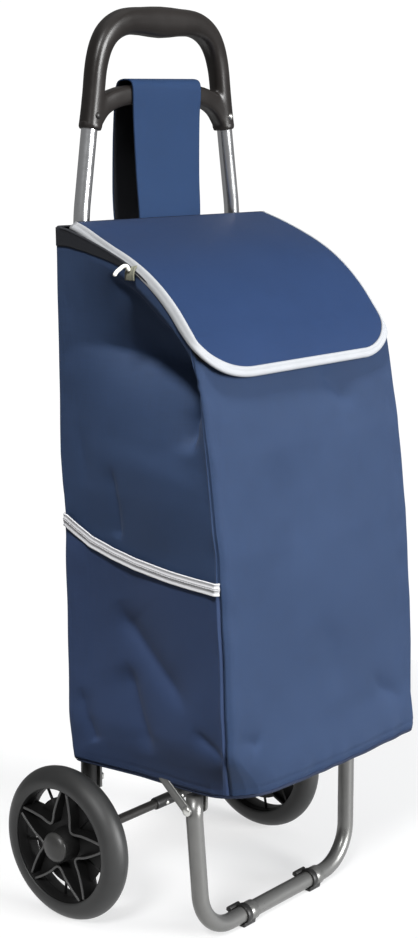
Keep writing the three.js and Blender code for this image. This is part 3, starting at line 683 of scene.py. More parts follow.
# lighter copy of the rim plastic: painted light on the raised ridges
M_RIM_RIDGE_PAINTED_LIGHT = moulded_material("rim_plastic_ridge", (0.060, 0.060, 0.060), 0.36, worn=0.8)
M_TYRE = moulded_material("tyre_rubber", (0.028, 0.0285, 0.0285), 0.42, grain=700.0, depth=0.00012, worn=0.15)
M_HOOK = moulded_material("hook_white_plastic", (0.70, 0.69, 0.64), 0.35, worn=0.0)
M_TAB = tape_material("tab_webbing", (0.12, 0.12, 0.085), (0.05, 0.05, 0.04), ribs=0.0014, lines=(0.15, 0.85), rough=0.8)
M_BOARD = moulded_material("board_fibre", (0.09, 0.088, 0.082), 0.8, grain=500.0, depth=0.0003, worn=0.0)


# --------------------------------------------------------------------- camera
cam = bpy.data.cameras.new("photo_view")
cam_ob = link(bpy.data.objects.new("photo_view", cam))
cam.lens = 66.41
cam.sensor_width = 36.0
cam.sensor_fit = "AUTO"
cam.clip_end = 50
cam_ob.location = (-1.3289, -1.1756 + OY * MM, 0.7916)
cam_ob.rotation_euler = (math.radians(90 - 11.122), 0.0, math.radians(-49.861))
bpy.context.scene.camera = cam_ob


# -------------------------------------------------------------------- uprights
def post_x(z):
    z = np.asarray(z, float)
    bend = POST_X - LEAN * 0.5 * np.clip(z - BEND_Z0, 0, BEND_Z1 - BEND_Z0) ** 2 / (BEND_Z1 - BEND_Z0)
    return bend - LEAN * np.clip(z - BEND_Z1, 0, None)


for side, s in SIDES:
    zs = np.concatenate([np.linspace(POST_Z0, BEND_Z0, 30), np.linspace(BEND_Z0, BEND_Z1, 12)[1:], np.linspace(BEND_Z1, POST_TOP, 10)[1:]])
    path = np.stack([s * post_x(zs), np.full(len(zs), POST_Y), zs], 1)
    ob = sweep(f"upright_{side}_tube", path, TUBE_R, M_CHROME, 56)
    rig.ride(ob, "frame"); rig.replaces(ob, f"upright_{side}"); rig.slot(ob, "upright_chrome")


# ---------------------------------------------------------------------- handle
def handle_piece():
    """Moulded loop: round legs that run into a deeper hand grip, and a lower
    brace. The rough union is remeshed so that the joins get moulded fillets."""
    # centre line of the loop, half, from the lower end to the crown, with the
    # half width in the XZ plane and half depth along Y at each station
    line = [
        # x, z, half width, half depth
        (101.0, 792.0, 10.8, 10.9), (99.8, 799.0, 10.5, 10.6), (97.7, 812.0, 10.3, 10.4), (95.2, 828.0, 10.3, 10.4),
        (92.6, 846.0, 10.4, 10.6), (88.6, 861.0, 10.6, 10.9), (83.4, 872.0, 11.0, 11.4), (76.2, 881.0, 11.6, 12.0),
        (66.8, 887.7, 12.3, 12.3), (55.5, 892.2, 12.8, 12.5), (44.0, 894.1, 13.1, 12.5), (28.0, 894.4, 13.7, 12.5),
        (14.0, 894.2, 14.8, 12.5), (0.0, 894.0, 15.4, 12.5),
    ]
    half = resample([(a, b, 0) for a, b, _, _ in line], 3.0)
    key = np.array([(a, b) for a, b, _, _ in line])
    klen = np.concatenate([[0], np.cumsum(np.linalg.norm(np.diff(key, axis=0), axis=1))])
    hlen = np.concatenate([[0], np.cumsum(np.linalg.norm(np.diff(half[:, :2], axis=0), axis=1))])
    hlen = hlen / hlen[-1] * klen[-1]
    w = np.interp(hlen, klen, [c for _, _, c, _ in line])
    d = np.interp(hlen, klen, [e for _, _, _, e in line])
    right = np.stack([half[:, 0], np.full(len(half), HANDLE_Y), half[:, 1]], 1)
    left = right[::-1][1:].copy()
    left[:, 0] *= -1
    path = np.vstack([right, left])
    ws = np.concatenate([w, w[::-1][1:]])
    ds = np.concatenate([d, d[::-1][1:]])
    t, _, _ = frames_along(path)
    sides = 40
    a = np.linspace(0, 2 * math.pi, sides, endpoint=False)
    # superellipse a little squarer than a circle
    e = 0.80
    ca, sa = np.sign(np.cos(a)) * np.abs(np.cos(a)) ** e, np.sign(np.sin(a)) * np.abs(np.sin(a)) ** e
    verts = []
    for i in range(len(path)):
        side_dir = np.array([-t[i][2], 0, t[i][0]])
        verts.append(path[i] + ca[:, None] * ws[i] * side_dir + sa[:, None] * ds[i] * np.array([0, 1.0, 0]))
    faces = grid(sides, len(path), True)
    faces.append(tuple(range(sides)))
    faces.append(tuple((len(path) - 1) * sides + k for k in range(sides)))
    loop = outward(make("handle_loop", np.concatenate(verts), faces, M_HANDLE))
    # brace: a flatter bar, thin in the middle and flaring into the legs
    bl = [(-93, 806, 15, 9.4), (-87, 811, 13, 9.2), (-80, 815.5, 11, 9), (-70, 819.5, 10.0, 9), (-55, 822.6, 9.6, 9), (-30, 824.4, 9.5, 9), (0, 824.9, 9.5, 9)]
    bl = bl + [(-x, z, w_, d_) for x, z, w_, d_ in bl[::-1][1:]]
    c = resample([(x, 0, z) for x, z, _, _ in bl], 3.0)
    xs = np.array([b_[0] for b_ in bl], float)
    bw = np.interp(c[:, 0], xs, [b_[2] for b_ in bl])
    bd = np.interp(c[:, 0], xs, [b_[3] for b_ in bl])
    verts = []
    e2 = 0.6
    ca2, sa2 = np.sign(np.cos(a)) * np.abs(np.cos(a)) ** e2, np.sign(np.sin(a)) * np.abs(np.sin(a)) ** e2
    for i in range(len(c)):
        verts.append(np.array([c[i][0], HANDLE_Y, c[i][2]]) + ca2[:, None] * bw[i] * np.array([0, 0, 1.0]) + sa2[:, None] * bd[i] * np.array([0, 1.0, 0]))
    faces = grid(sides, len(c), True)
    faces.append(tuple(range(sides)))
    faces.append(tuple((len(c) - 1) * sides + k for k in range(sides)))
    brace = outward(make("handle_brace", np.concatenate(verts), faces, M_HANDLE))
    ob = join("handle_moulding", [loop, brace])
    rm = ob.modifiers.new("weld", "REMESH")
    rm.mode = "VOXEL"
    rm.voxel_size = 1.4 * MM
    rm.use_smooth_shade = True
    apply_all(ob)
    # relax only where brace and legs meet
    me = ob.data
    co = np.zeros(len(me.vertices) * 3)
    me.vertices.foreach_get("co", co)
    co = co.reshape(-1, 3)
    x, z = np.abs(co[:, 0]) / MM, co[:, 2] / MM
    wgt = np.exp(-(((x - 86) / 14) ** 2)) * smoothstep(796, 806, z) * (1 - smoothstep(845, 860, z))
    vg = ob.vertex_groups.new(name="fillet")
    for lo in range(20):
        pass
    for i in np.where(wgt > 0.02)[0]:
        vg.add([int(i)], float(wgt[i]), "REPLACE")
    sm = ob.modifiers.new("fillet", "SMOOTH")
    sm.factor = 0.5
    sm.iterations = 24
    sm.vertex_group = "fillet"
    sm2 = ob.modifiers.new("soften", "SMOOTH")
    sm2.factor = 0.5
    sm2.iterations = 4
    apply_all(ob)
    # a flat lower end
    me = ob.data
    for v in me.vertices:
        v.co.z = max(v.co.z, 0.7925)
        # the loop is not quite level: its right shoulder stands a little higher
        v.co.z += 0.018 * (v.co.x + 0.1) * float(smoothstep(0.7925, 0.83, v.co.z))
    me.polygons.foreach_set("use_smooth", [True] * len(me.polygons))
    if not me.materials:
        me.materials.append(M_HANDLE)
    return ob


handle = handle_piece()
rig.ride(handle, "frame"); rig.replaces(handle, "handle"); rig.slot(handle, "handle_black")
for side, s in SIDES:
    # collar at the mouth of each socket
    z0, z1 = 791.2, 797.5
    tilt = LEAN
    zs = np.linspace(z0, z1, 7)
    rr = np.array([10.4, 10.9, 11.1, 11.1, 11.0, 10.9, 10.6])
    path = np.stack([s * (101.0 - tilt * (zs - 792)), np.full(7, HANDLE_Y), zs], 1)
    ob = sweep(f"handle_collar_{side}", path, rr, M_HANDLE, 48)
    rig.ride(ob, "frame"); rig.slot(ob, "handle_black")
    # rivet head: domed, low, seated on the leg's front
    a = np.linspace(0, 2 * math.pi, 32, endpoint=False)
    prof = [(0.0, -2.2), (1.2, -2.1), (2.3, -1.7), (3.1, -0.9), (3.4, 0.2), (3.4, 1.8)]
    verts, rows = [(s * post_x(804.0), HANDLE_Y - 10.0 + prof[0][1], 804.0)], [[0]]
    for r, y in prof[1:]:
        rows.append(list(range(len(verts), len(verts) + 32)))
        verts += [(s * float(post_x(804.0)) + r * math.cos(t), HANDLE_Y - 10.0 + y, 804.0 + r * math.sin(t)) for t in a]
    faces = [(0, rows[1][i], rows[1][(i + 1) % 32]) for i in range(32)]
    for p, q in zip(rows[1:-1], rows[2:]):
        faces += [(p[i], p[(i + 1) % 32], q[(i + 1) % 32], q[i]) for i in range(32)]
    faces.append(tuple(rows[-1]))
    ob = outward(make(f"handle_rivet_{side}_head", verts, faces, M_AXLE if s < 0 else M_ZINC))
    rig.ride(ob, "frame"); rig.replaces(ob, f"handle_rivet_{side}"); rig.slot(ob, "zinc_fittings")


# ------------------------------------------------------------------ axle group
ob = turned_x("axle_rod", [(0, -AXLE_HALF), (AXLE_R - 1, -AXLE_HALF), (AXLE_R, -AXLE_HALF + 1), (AXLE_R, AXLE_HALF - 1), (AXLE_R - 1, AXLE_HALF), (0, AXLE_HALF)], 0, AXLE_Z, M_AXLE, 48)
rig.ride(ob, "frame"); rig.replaces(ob, "axle"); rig.slot(ob, "axle_black")
i0, w = AXLE_R + GAP, SLEEVE_HALF
ob = turned_x("axle_sleeve_tube", [(i0, -w), (SLEEVE_R - 0.8, -w), (SLEEVE_R - 0.2, -w + 0.8), (SLEEVE_R, -w + 2), (SLEEVE_R, w - 2), (SLEEVE_R - 0.2, w - 0.8), (SLEEVE_R - 0.8, w), (i0, w)], 0, AXLE_Z, M_BLACK, 48)
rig.ride(ob, "frame"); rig.replaces(ob, "axle_sleeve"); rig.slot(ob, "fittings_black")
for side, s in SIDES:
    a = np.linspace(0, 2 * math.pi, 24, endpoint=False)
    prof = [(0.0, 1.7), (0.8, 1.6), (1.5, 1.35), (2.1, 0.9), (2.5, 0.35), (2.6, -0.2)]
    yc = -SLEEVE_R - 0.1
    verts, rows = [(s * 12, yc - prof[0][1], AXLE_Z)], [[0]]
    for r, h in prof[1:]:
        rows.append(list(range(len(verts), len(verts) + 24)))
        verts += [(s * 12 + r * math.cos(t), yc - h, AXLE_Z + r * math.sin(t)) for t in a]
    faces = [(0, rows[1][i], rows[1][(i + 1) % 24]) for i in range(24)]
    for p, q in zip(rows[1:-1], rows[2:]):
        faces += [(p[i], p[(i + 1) % 24], q[(i + 1) % 24], q[i]) for i in range(24)]
    faces.append(tuple(rows[-1]))
    ob = outward(make(f"sleeve_rivet_{side}_head", verts, faces, M_ZINC))
    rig.ride(ob, "frame"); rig.replaces(ob, f"sleeve_rivet_{side}"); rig.slot(ob, "zinc_fittings")

    # moulded axle bracket: soft block with a boss round the axle and a socket lip
    x0, x1 = (s * 127.5, s * 103.0) if s < 0 else (s * 103.0, s * 127.5)
    prof = [(-7, 60), (12, 60), (18, 64), (24, 74), (24, 117), (21, 120), (2, 120), (-4, 110), (-12, 92), (-12, 65)]
    block = plate_x("block", prof, min(x0, x1), max(x0, x1), M_BLACK, holes=[(0, AXLE_Z, AXLE_R + GAP)], bevel=2.2, segments=4)
    lip = sweep("lip", [(s * POST_X, POST_Y, 114), (s * POST_X, POST_Y, 118), (s * POST_X, POST_Y, 122), (s * POST_X, POST_Y, 123.2)], [11.6, 11.8, 11.2, 10.2], M_BLACK, 40)
    boss = turned_x("boss", [(AXLE_R + GAP, s * 126), (11, s * 126), (11, s * 127), (10, s * 127.8), (AXLE_R + GAP, s * 127.8)], 0, AXLE_Z, M_BLACK, 40)
    ob = join(f"axle_bracket_{side}_moulding", [block, lip, boss])
    sharpen(ob, 45)
    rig.ride(ob, "frame"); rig.replaces(ob, f"axle_bracket_{side}"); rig.slot(ob, "fittings_black")
    ob = turned_x(f"wheel_spacer_{side}_ring", [(AXLE_R + GAP, s * 127.9), (7.4, s * 127.9), (8, s * 128.6), (8, s * (HUB_X0 - 1)), (7.4, s * (HUB_X0 - GAP)), (AXLE_R + GAP, s * (HUB_X0 - GAP))], 0, AXLE_Z, M_BLACK, 40)
    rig.ride(ob, "frame"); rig.replaces(ob, f"wheel_spacer_{side}"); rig.slot(ob, "fittings_black")


for side, s in SIDES:
    zs = np.array([118.0, 119.0, 140.0, 163.0, 164.5, 165.0])
    ob = sweep(f"upright_sleeve_{side}", [(s * POST_X, POST_Y, z) for z in zs], [8.02, 8.24, 8.26, 8.26, 8.2, 8.02], M_BLACK, 48)
    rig.ride(ob, "frame"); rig.slot(ob, "fittings_black")


# ---------------------------------------------------------------------- wheels
def window_outline(mid_deg, grow=0.0):
    """Closed (a, b) outline of one wheel window: an arc along the rim and a
    rounded V toward the hub. grow moves the V outward to make its raised wall."""
    mid = math.radians(mid_deg)
    ro = 59.4
    v = [(59.4, -31.5), (50.5, -27), (42, -21.5), (34.5, -15), (27.8, -8), (25.0, 0), (27.8, 8), (34.5, 15), (42, 21.5), (50.5, 27), (59.4, 31.5)]
    pts = np.array([(r * math.cos(mid + math.radians(d)), r * math.sin(mid + math.radians(d)), 0) for r, d in v])
    vv = resample(pts, 1.6)[:, :2]
    if grow:
        t = np.gradient(vv, axis=0)
        t /= np.linalg.norm(t, axis=1)[:, None]
        nrm = np.stack([t[:, 1], -t[:, 0]], 1)
        c = np.array([math.cos(mid), math.sin(mid)]) * 42
        if np.mean(np.sum(nrm * (vv - c), 1)) < 0:
            nrm = -nrm
        vv = vv + nrm * grow
    arc = [(ro * math.cos(mid + math.radians(d)), ro * math.sin(mid + math.radians(d))) for d in np.linspace(31.5, -31.5, 26)[1:-1]]
    return vv, np.array(arc)


def tri_plate(name, loops, x0, x1, mat, bevel=0.6):
    """Extrudes closed (y, z) loops (first outer, rest holes) along X."""
    bm = bmesh.new()
    edges = []
    for lp in loops:
        vs = [bm.verts.new((x0 * MM, (p[0] + OY) * MM, (p[1] + AXLE_Z) * MM)) for p in lp]
        edges += [bm.edges.new((vs[i], vs[(i + 1) % len(vs)])) for i in range(len(vs))]
    bmesh.ops.triangle_fill(bm, edges=edges, use_beauty=True, use_dissolve=False)
    bmesh.ops.dissolve_limit(bm, angle_limit=0.01, verts=bm.verts, edges=bm.edges)
    got = bmesh.ops.extrude_face_region(bm, geom=list(bm.faces))
    vs = [g for g in got["geom"] if isinstance(g, bmesh.types.BMVert)]
    bmesh.ops.translate(bm, vec=((x1 - x0) * MM, 0, 0), verts=vs)
    bmesh.ops.recalc_face_normals(bm, faces=bm.faces)
    me = bpy.data.meshes.new(name)
    bm.to_mesh(me)
    bm.free()
    me.materials.append(mat)
    ob = link(bpy.data.objects.new(name, me))
    if bevel > 0:
        auto_bevel(ob, bevel, 2, 40)
    else:
        sharpen(ob, 40)
    return ob


def wheel(side, s):
    body = f"wheel_{side}"
    f = lambda a: s * a
    W = WHEEL_X
    # tyre: full round shoulders, a faint mould line and two shallow grooves
    prof = []
    w = TYRE_W / 2
    half = [(RIM_R + 0.3, w - 4.0), (59.9, w - 2.6), (59.6, w - 1.6), (60.2, w - 0.9), (62.0, w - 0.3), (64.5, w + 0.05), (67.0, w - 0.1), (69.6, w - 0.7), (72.0, w - 1.8),
            (74.2, w - 3.3), (76.1, w - 5.1), (77.7, w - 7.2), (78.9, w - 9.5), (79.7, w - 11.9)]
    prof = half + [(80.0, 0.6), (80.0, -0.6)] + [(r, -x) for r, x in half[::-1]]
    ob = turned_x(f"tyre_{side}_rubber", [(r, f(W) + x) for r, x in prof], 0, AXLE_Z, M_TYRE, 128, 60)
    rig.ride(ob, body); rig.replaces(ob, f"tyre_{side}"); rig.slot(ob, "tyre_rubber")

    ro = 11.5
    xo, xi = f(W + ro), f(W - ro)
    # barrel and flanges, in the near-black painted-shade copy of the rim plastic
    barrel = turned_x("barrel", [(59.3, f(W + ro - 0.8)), (59.7, f(W + ro)), (RIM_R, f(W + ro - 1)),
                                 (RIM_R, f(W - ro + 1)), (59.7, f(W - ro)), (59.3, f(W - ro + 0.8))], 0, AXLE_Z, M_RIM_PAINTED_SHADE, 96)
    parts = [barrel]
    mir = 1 if s > 0 else -1
    for k in range(5):
        mid = 72 * k + (60 if s < 0 else 44)
        inner, arc = window_outline(mid)
        outer, _ = window_outline(mid, 2.5)
        # raised wall that outlines the star, full depth: its lower part in the near-black painted-shade plastic, its
        # top in the lighter painted-light ridge plastic
        n = len(inner)
        wall = [tuple(p) for p in inner] + [tuple(p) for p in outer[::-1]]
        x_top, x_bot = f(W + ro - 0.2), f(W - ro + 1.5)
        x_mid = f(W + ro - 2.2)
        parts.append(tri_plate("wall", [wall], min(x_mid, x_bot), max(x_mid, x_bot), M_RIM_PAINTED_SHADE, 0.0))
        parts.append(tri_plate("ridge", [wall], min(x_top, x_mid), max(x_top, x_mid), M_RIM_RIDGE_PAINTED_LIGHT, 0.8))
        # recessed web behind the window, with an open slot along the rim, in the near-black painted-shade plastic
        web = [tuple(p) for p in inner[3:-3]]
        m = math.radians(mid)
        web = [q for q in web if math.hypot(*q) < 46.5]
        web += [(46.5 * math.cos(m + math.radians(d)), 46.5 * math.sin(m + math.radians(d))) for d in np.linspace(23.5, -23.5, 14)]
        parts.append(tri_plate("web", [web], min(f(W - 2.0), f(W - 4.5)), max(f(W - 2.0), f(W - 4.5)), M_RIM_PAINTED_SHADE, 0.5))
        # rib down the middle of the web, in the near-black painted-shade plastic
        rib = sweep("rib", [(f(W - 2.6), 26 * math.cos(m), AXLE_Z + 26 * math.sin(m)), (f(W - 2.6), 59.5 * math.cos(m), AXLE_Z + 59.5 * math.sin(m))], 1.5, M_RIM_PAINTED_SHADE, 16)
        parts.append(rib)
    # channel floors of the five spokes: the disc minus the windows, set back, in the near-black painted-shade plastic
    disc = [(59.5 * math.cos(t), 59.5 * math.sin(t)) for t in np.linspace(0, 2 * math.pi, 96, endpoint=False)]
    holes = []
    for k in range(5):
        mid = 72 * k + (60 if s < 0 else 44)
        o, arc = window_outline(mid, 1.2)
        m = math.radians(mid)
        arc2 = [(58.8 * math.cos(m + math.radians(d)), 58.8 * math.sin(m + math.radians(d))) for d in np.linspace(31, -31, 22)[1:-1]]
        keep = [tuple(p) for p in o if math.hypot(*p) < 58.2]
        holes.append(keep + arc2)
    x_a, x_b = f(W + ro - 12.5), f(W + ro - 15.5)
    parts.append(tri_plate("channel", [disc] + holes, min(x_a, x_b), max(x_a, x_b), M_RIM_PAINTED_SHADE, 0.0))
    # the hub, in the near-black painted-shade plastic
    hub = turned_x("hub", [(AXLE_R + GAP, f(HUB_X0)), (HUB_R - 1, f(HUB_X0)), (HUB_R, f(HUB_X0 + 1)), (HUB_R, f(HUB_X1 - 9)), (HUB_R - 1.2, f(HUB_X1 - 6)), (HUB_R - 1.8, f(HUB_X1 - 1.2)), (HUB_R - 2.4, f(HUB_X1)), (AXLE_R + GAP, f(HUB_X1))], 0, AXLE_Z, M_RIM_PAINTED_SHADE, 64)
    parts.append(hub)
    ob = join(f"wheel_rim_{side}_moulding", parts)
    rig.ride(ob, body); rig.replaces(ob, f"wheel_rim_{side}"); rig.slot(ob, "rim_plastic")

    cap = turned_x(f"hub_cap_{side}_dome", [(0, f(HUB_X1 + GAP)), (CAP_R - 0.5, f(HUB_X1 + GAP)), (CAP_R, f(HUB_X1 + 0.9)), (CAP_R, f(HUB_X1 + 2.0)), (CAP_R - 0.6, f(HUB_X1 + 3.2)),
                                            (CAP_R - 1.9, f(HUB_X1 + 4.6)), (CAP_R - 4.0, f(HUB_X1 + 5.9)), (CAP_R - 7.0, f(HUB_X1 + 7.0)), (CAP_R - 11, f(HUB_X1 + 7.7)), (0, f(CAP_X1))], 0, AXLE_Z, M_CAP, 64, 60)
    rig.ride(cap, body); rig.replaces(cap, f"hub_cap_{side}"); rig.slot(cap, "rim_plastic")


for side, s in SIDES:
    wheel(side, s)


# ------------------------------------------------------------- platform, hinge
path = rounded([(-ARM_X, PLAT_Y0 + ARM_R, ARM_Z), (-ARM_X, PLAT_Y1, ARM_Z), (ARM_X, PLAT_Y1, ARM_Z), (ARM_X, PLAT_Y0 + ARM_R, ARM_Z)], [PLAT_BEND, PLAT_BEND])
ob = sweep("platform_frame_tube", path, ARM_R, M_GREY, 40)
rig.ride(ob, "frame"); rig.replaces(ob, "platform_frame"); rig.slot(ob, "frame_grey")
xs = np.linspace(-ARM_X + ARM_R + GAP, ARM_X - ARM_R - GAP, 24)
ob = sweep("platform_rear_bar_tube", [(x, PLAT_Y0, ARM_Z) for x in xs], BAR_R, M_GREY, 40)
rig.ride(ob, "frame"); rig.replaces(ob, "platform_rear_bar"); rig.slot(ob, "frame_grey")


def arc_pts(cy, cz, r, a0, a1, n):
    return [(cy + r * math.cos(t), cz + r * math.sin(t)) for t in np.linspace(math.radians(a0), math.radians(a1), n)]


CHEEK_IN, CHEEK_OUT, CHEEK_T = LEG_X_TOP - LEG_R - 0.6, LEG_X_TOP + LEG_R + 0.6, 3.0
for side, s in SIDES:
    xa = POST_X - TUBE_R - GAP
    prof = [(POST_Y - 8, 123), (POST_Y + 8, 123), (POST_Y + 8, 178), (PLAT_Y0 - 7, 178), (PLAT_Y0 - 10, 175), (PLAT_Y0 - 10, 162), (PLAT_Y0 - 4, 157.5), (POST_Y - 12, 157.5), (POST_Y - 8, 152)]
    ob = plate_x(f"frame_bracket_{side}_plate", prof, min(s * xa, s * (xa - 3)), max(s * xa, s * (xa - 3)), M_GREY, holes=[(PLAT_Y0, ARM_Z, BAR_R + GAP), (POST_Y, 132, PIN_R + GAP)], bevel=0.5)
    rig.ride(ob, "frame"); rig.replaces(ob, f"frame_bracket_{side}"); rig.slot(ob, "frame_grey")
    # inner cheek
    prof = [(PIN_Y - 7, ARM_Z + 5)] + arc_pts(PIN_Y, PIN_Z, 7, 180, 360, 20) + [(PIN_Y + 7, ARM_Z + 5)]
    ob = plate_x(f"hinge_cheek_inner_{side}_plate", prof, min(s * CHEEK_IN, s * (CHEEK_IN - CHEEK_T)), max(s * CHEEK_IN, s * (CHEEK_IN - CHEEK_T)), M_GREY, holes=[(PIN_Y, PIN_Z, PIN_R + GAP)], bevel=0.5)
    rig.ride(ob, "frame"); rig.replaces(ob, f"hinge_cheek_inner_{side}"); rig.slot(ob, "frame_grey")
    # outer cheek: strap that runs up and back
    end = np.array([PIN_Y + 31, ARM_Z + 1]); d = end - np.array([PIN_Y, PIN_Z]); ang = math.degrees(math.atan2(d[1], d[0]))
    prof = arc_pts(PIN_Y, PIN_Z, 5, ang + 90, ang + 270, 16) + arc_pts(end[0], end[1], 5, ang - 90, ang + 90, 16)
    ob = plate_x(f"hinge_cheek_outer_{side}_strap", prof, min(s * CHEEK_OUT, s * (CHEEK_OUT + CHEEK_T)), max(s * CHEEK_OUT, s * (CHEEK_OUT + CHEEK_T)), M_GREY, holes=[(PIN_Y, PIN_Z, PIN_R + GAP)], bevel=0.6)
    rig.ride(ob, "frame"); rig.replaces(ob, f"hinge_cheek_outer_{side}"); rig.slot(ob, "zinc_fittings")
    x0, x1 = CHEEK_IN - CHEEK_T - GAP, CHEEK_OUT + CHEEK_T + GAP
    ob = turned_x(f"hinge_pin_{side}_rivet", [(0, s * (x0 - 1.8)), (2, s * (x0 - 1.75)), (3.6, s * (x0 - 1.3)), (4.7, s * (x0 - 0.6)), (5, s * x0), (PIN_R, s * x0), (PIN_R, s * x1), (5, s * x1), (4.7, s * (x1 + 0.6)), (3.6, s * (x1 + 1.3)), (2, s * (x1 + 1.75)), (0, s * (x1 + 1.8))], PIN_Y, PIN_Z, M_ZINC, 36)
    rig.ride(ob, "frame"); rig.replaces(ob, f"hinge_pin_{side}"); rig.slot(ob, "zinc_fittings")
    bi, bo = POST_X - TUBE_R - GAP - 3 - GAP, POST_X + TUBE_R + GAP
    ob = turned_x(f"frame_bolt_{side}_bolt", [(0, s * (bi - 8)), (2.4, s * (bi - 8)), (3, s * (bi - 7)), (3, s * bo), (6.3, s * bo), (6.5, s * (bo + 0.5)), (6.0, s * (bo + 1.8)), (4.6, s * (bo + 3.0)), (2.4, s * (bo + 3.7)), (0, s * (bo + 3.8))], POST_Y, 132, M_ZINC, 36)
    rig.ride(ob, "frame"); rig.replaces(ob, f"frame_bolt_{side}"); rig.slot(ob, "zinc_fittings")
    hexa = [(POST_Y + 5.8 * math.cos(math.pi * i / 3 + math.pi / 6), 132 + 5.8 * math.sin(math.pi * i / 3 + math.pi / 6)) for i in range(6)]
    ob = plate_x(f"frame_nut_{side}_nut", hexa, min(s * bi, s * (bi - 5)), max(s * bi, s * (bi - 5)), M_ZINC, holes=[(POST_Y, 132, PIN_R + GAP)], bevel=0.6, segments=3)
    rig.ride(ob, "frame"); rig.replaces(ob, f"frame_nut_{side}"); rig.slot(ob, "zinc_fittings")


# ----------------------------------------------------------------------- stand
def leg_x(z):
    return LEG_X_BOT + (LEG_X_TOP - LEG_X_BOT) * min(max((z - FOOT_Z) / (PIN_Z - FOOT_Z), 0), 1)


path = rounded([(-leg_x(LEG_TOP_Z), PIN_Y, LEG_TOP_Z), (-leg_x(PIN_Z), PIN_Y, PIN_Z - 12), (-LEG_X_BOT, FOOT_Y, FOOT_Z), (LEG_X_BOT, FOOT_Y, FOOT_Z),
                (leg_x(PIN_Z), PIN_Y, PIN_Z - 12), (leg_x(LEG_TOP_Z), PIN_Y, LEG_TOP_Z)], [60, LEG_BEND, LEG_BEND, 60], 18)
ob = sweep("stand_leg_tube", path, LEG_R, M_GREY, 48)
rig.ride(ob, "stand"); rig.replaces(ob, "stand_leg"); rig.slot(ob, "frame_grey")
for side, s in SIDES:
    r = LEG_R + 0.3
    # collar, outer band and tongue; the band is blacker and stands a little proud
    c = s * CLIP_X
    sgn = -s  # the collar runs inboard from the band
    def ring(name, x0, x1, R, mat):
        return turned_x(name, [(r, x0), (R - 0.5, x0), (R, x0 + 0.5 * (1 if x1 > x0 else -1)), (R, x1 - 0.5 * (1 if x1 > x0 else -1)), (R - 0.5, x1), (r, x1)], FOOT_Y, FOOT_Z, mat, 48)
    band = ring("band", c - 5, c + 2, r + 2.0, M_BLACK)
    collar = ring("collar", c + 2.2, c + 14, r + 1.2, M_GREY)
    # sole
    sole = plate_x("sole", [(FOOT_Y - 7.5, 0.05), (FOOT_Y + 7.5, 0.05), (FOOT_Y + 8.5, 5.0), (FOOT_Y + 6, 3.2), (FOOT_Y, 1.75), (FOOT_Y - 6, 3.2), (FOOT_Y - 8.5, 5.0)], c - 9, c + 9, M_BLACK, bevel=0.35)
    # tongue that runs along the tube at its back top
    at = lambda deg, rad: (FOOT_Y + rad * math.cos(math.radians(deg)), FOOT_Z + rad * math.sin(math.radians(deg)))
    tongue = plate_x("tongue", [at(24, r + 0.2), at(24, r + 4.2), at(36, r + 5.2), at(50, r + 4.8), at(56, r + 3.4), at(57, r + 0.2), at(40, r + 0.1)], c - 15, c + 1.5, M_BLACK, bevel=0.8, segments=3)
    ob = join(f"foot_clip_{side}_moulding", [band, collar, sole, tongue])
    sharpen(ob, 45)
    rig.ride(ob, "stand"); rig.replaces(ob, f"foot_clip_{side}"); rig.slot(ob, "fittings_black")


# ------------------------------------------------------------------- bag shell
FRONT = np.array([(-208, 166), (-206.5, 230), (-203.5, 307), (-197, 401), (-185, 494), (-170, 572), (-168, 584)], float)
TOP = np.array([(-168, 584), (-160.5, 598), (-150, 612), (-138, 627), (-122, 643), (-104, 657), (-84, 669), (-60, 680), (-34, 690), (-6, 699), (-0.3, 700)], float)
Z_LO = BAG_Z0


def front_depth(z):
    return -np.interp(z, FRONT[:, 1], FRONT[:, 0])


def top_z(y):
    return np.interp(y, TOP[:, 0], TOP[:, 1])


def seg_dist(py, pz, line):
    """Distance and signed side from points to a polyline, with the fraction
    along it (0..1) of the nearest point."""
    line = np.asarray(line, float)
    L = np.concatenate([[0], np.cumsum(np.linalg.norm(np.diff(line, axis=0), axis=1))])
    best = np.full(py.shape, 1e9)
    frac = np.zeros(py.shape)
    sign = np.zeros(py.shape)
    for i in range(len(line) - 1):
        a, b = line[i], line[i + 1]
        d = b - a
        t = np.clip(((py - a[0]) * d[0] + (pz - a[1]) * d[1]) / (d @ d), 0, 1)
        qy, qz = a[0] + t * d[0], a[1] + t * d[1]
        dist = np.hypot(py - qy, pz - qz)
        sd = np.sign((py - a[0]) * d[1] - (pz - a[1]) * d[0])
        m = dist < best
        best = np.where(m, dist, best)
        frac = np.where(m, (L[i] + t * (L[i + 1] - L[i])) / L[-1], frac)
        sign = np.where(m, sd, sign)
    return best, sign, frac


def crease(py, pz, line, depth, w_a, w_b, ends=(0.15, 0.85), soft=2.0):
    """A fold along a line: a sharp-bottomed valley with its own width each
    side, fading in and out at its ends. Positive = inward."""
    d, sg, fr = seg_dist(py, pz, line)
    w = np.where(sg > 0, w_a, w_b)
    dd = np.sqrt(d * d + soft * soft) - soft
    prof = np.exp(-dd / w)
    fade = smoothstep(0, max(ends[0], 1e-3), fr) * (1 - smoothstep(min(ends[1], 0.999), 1.0, fr))
    return depth * prof * fade


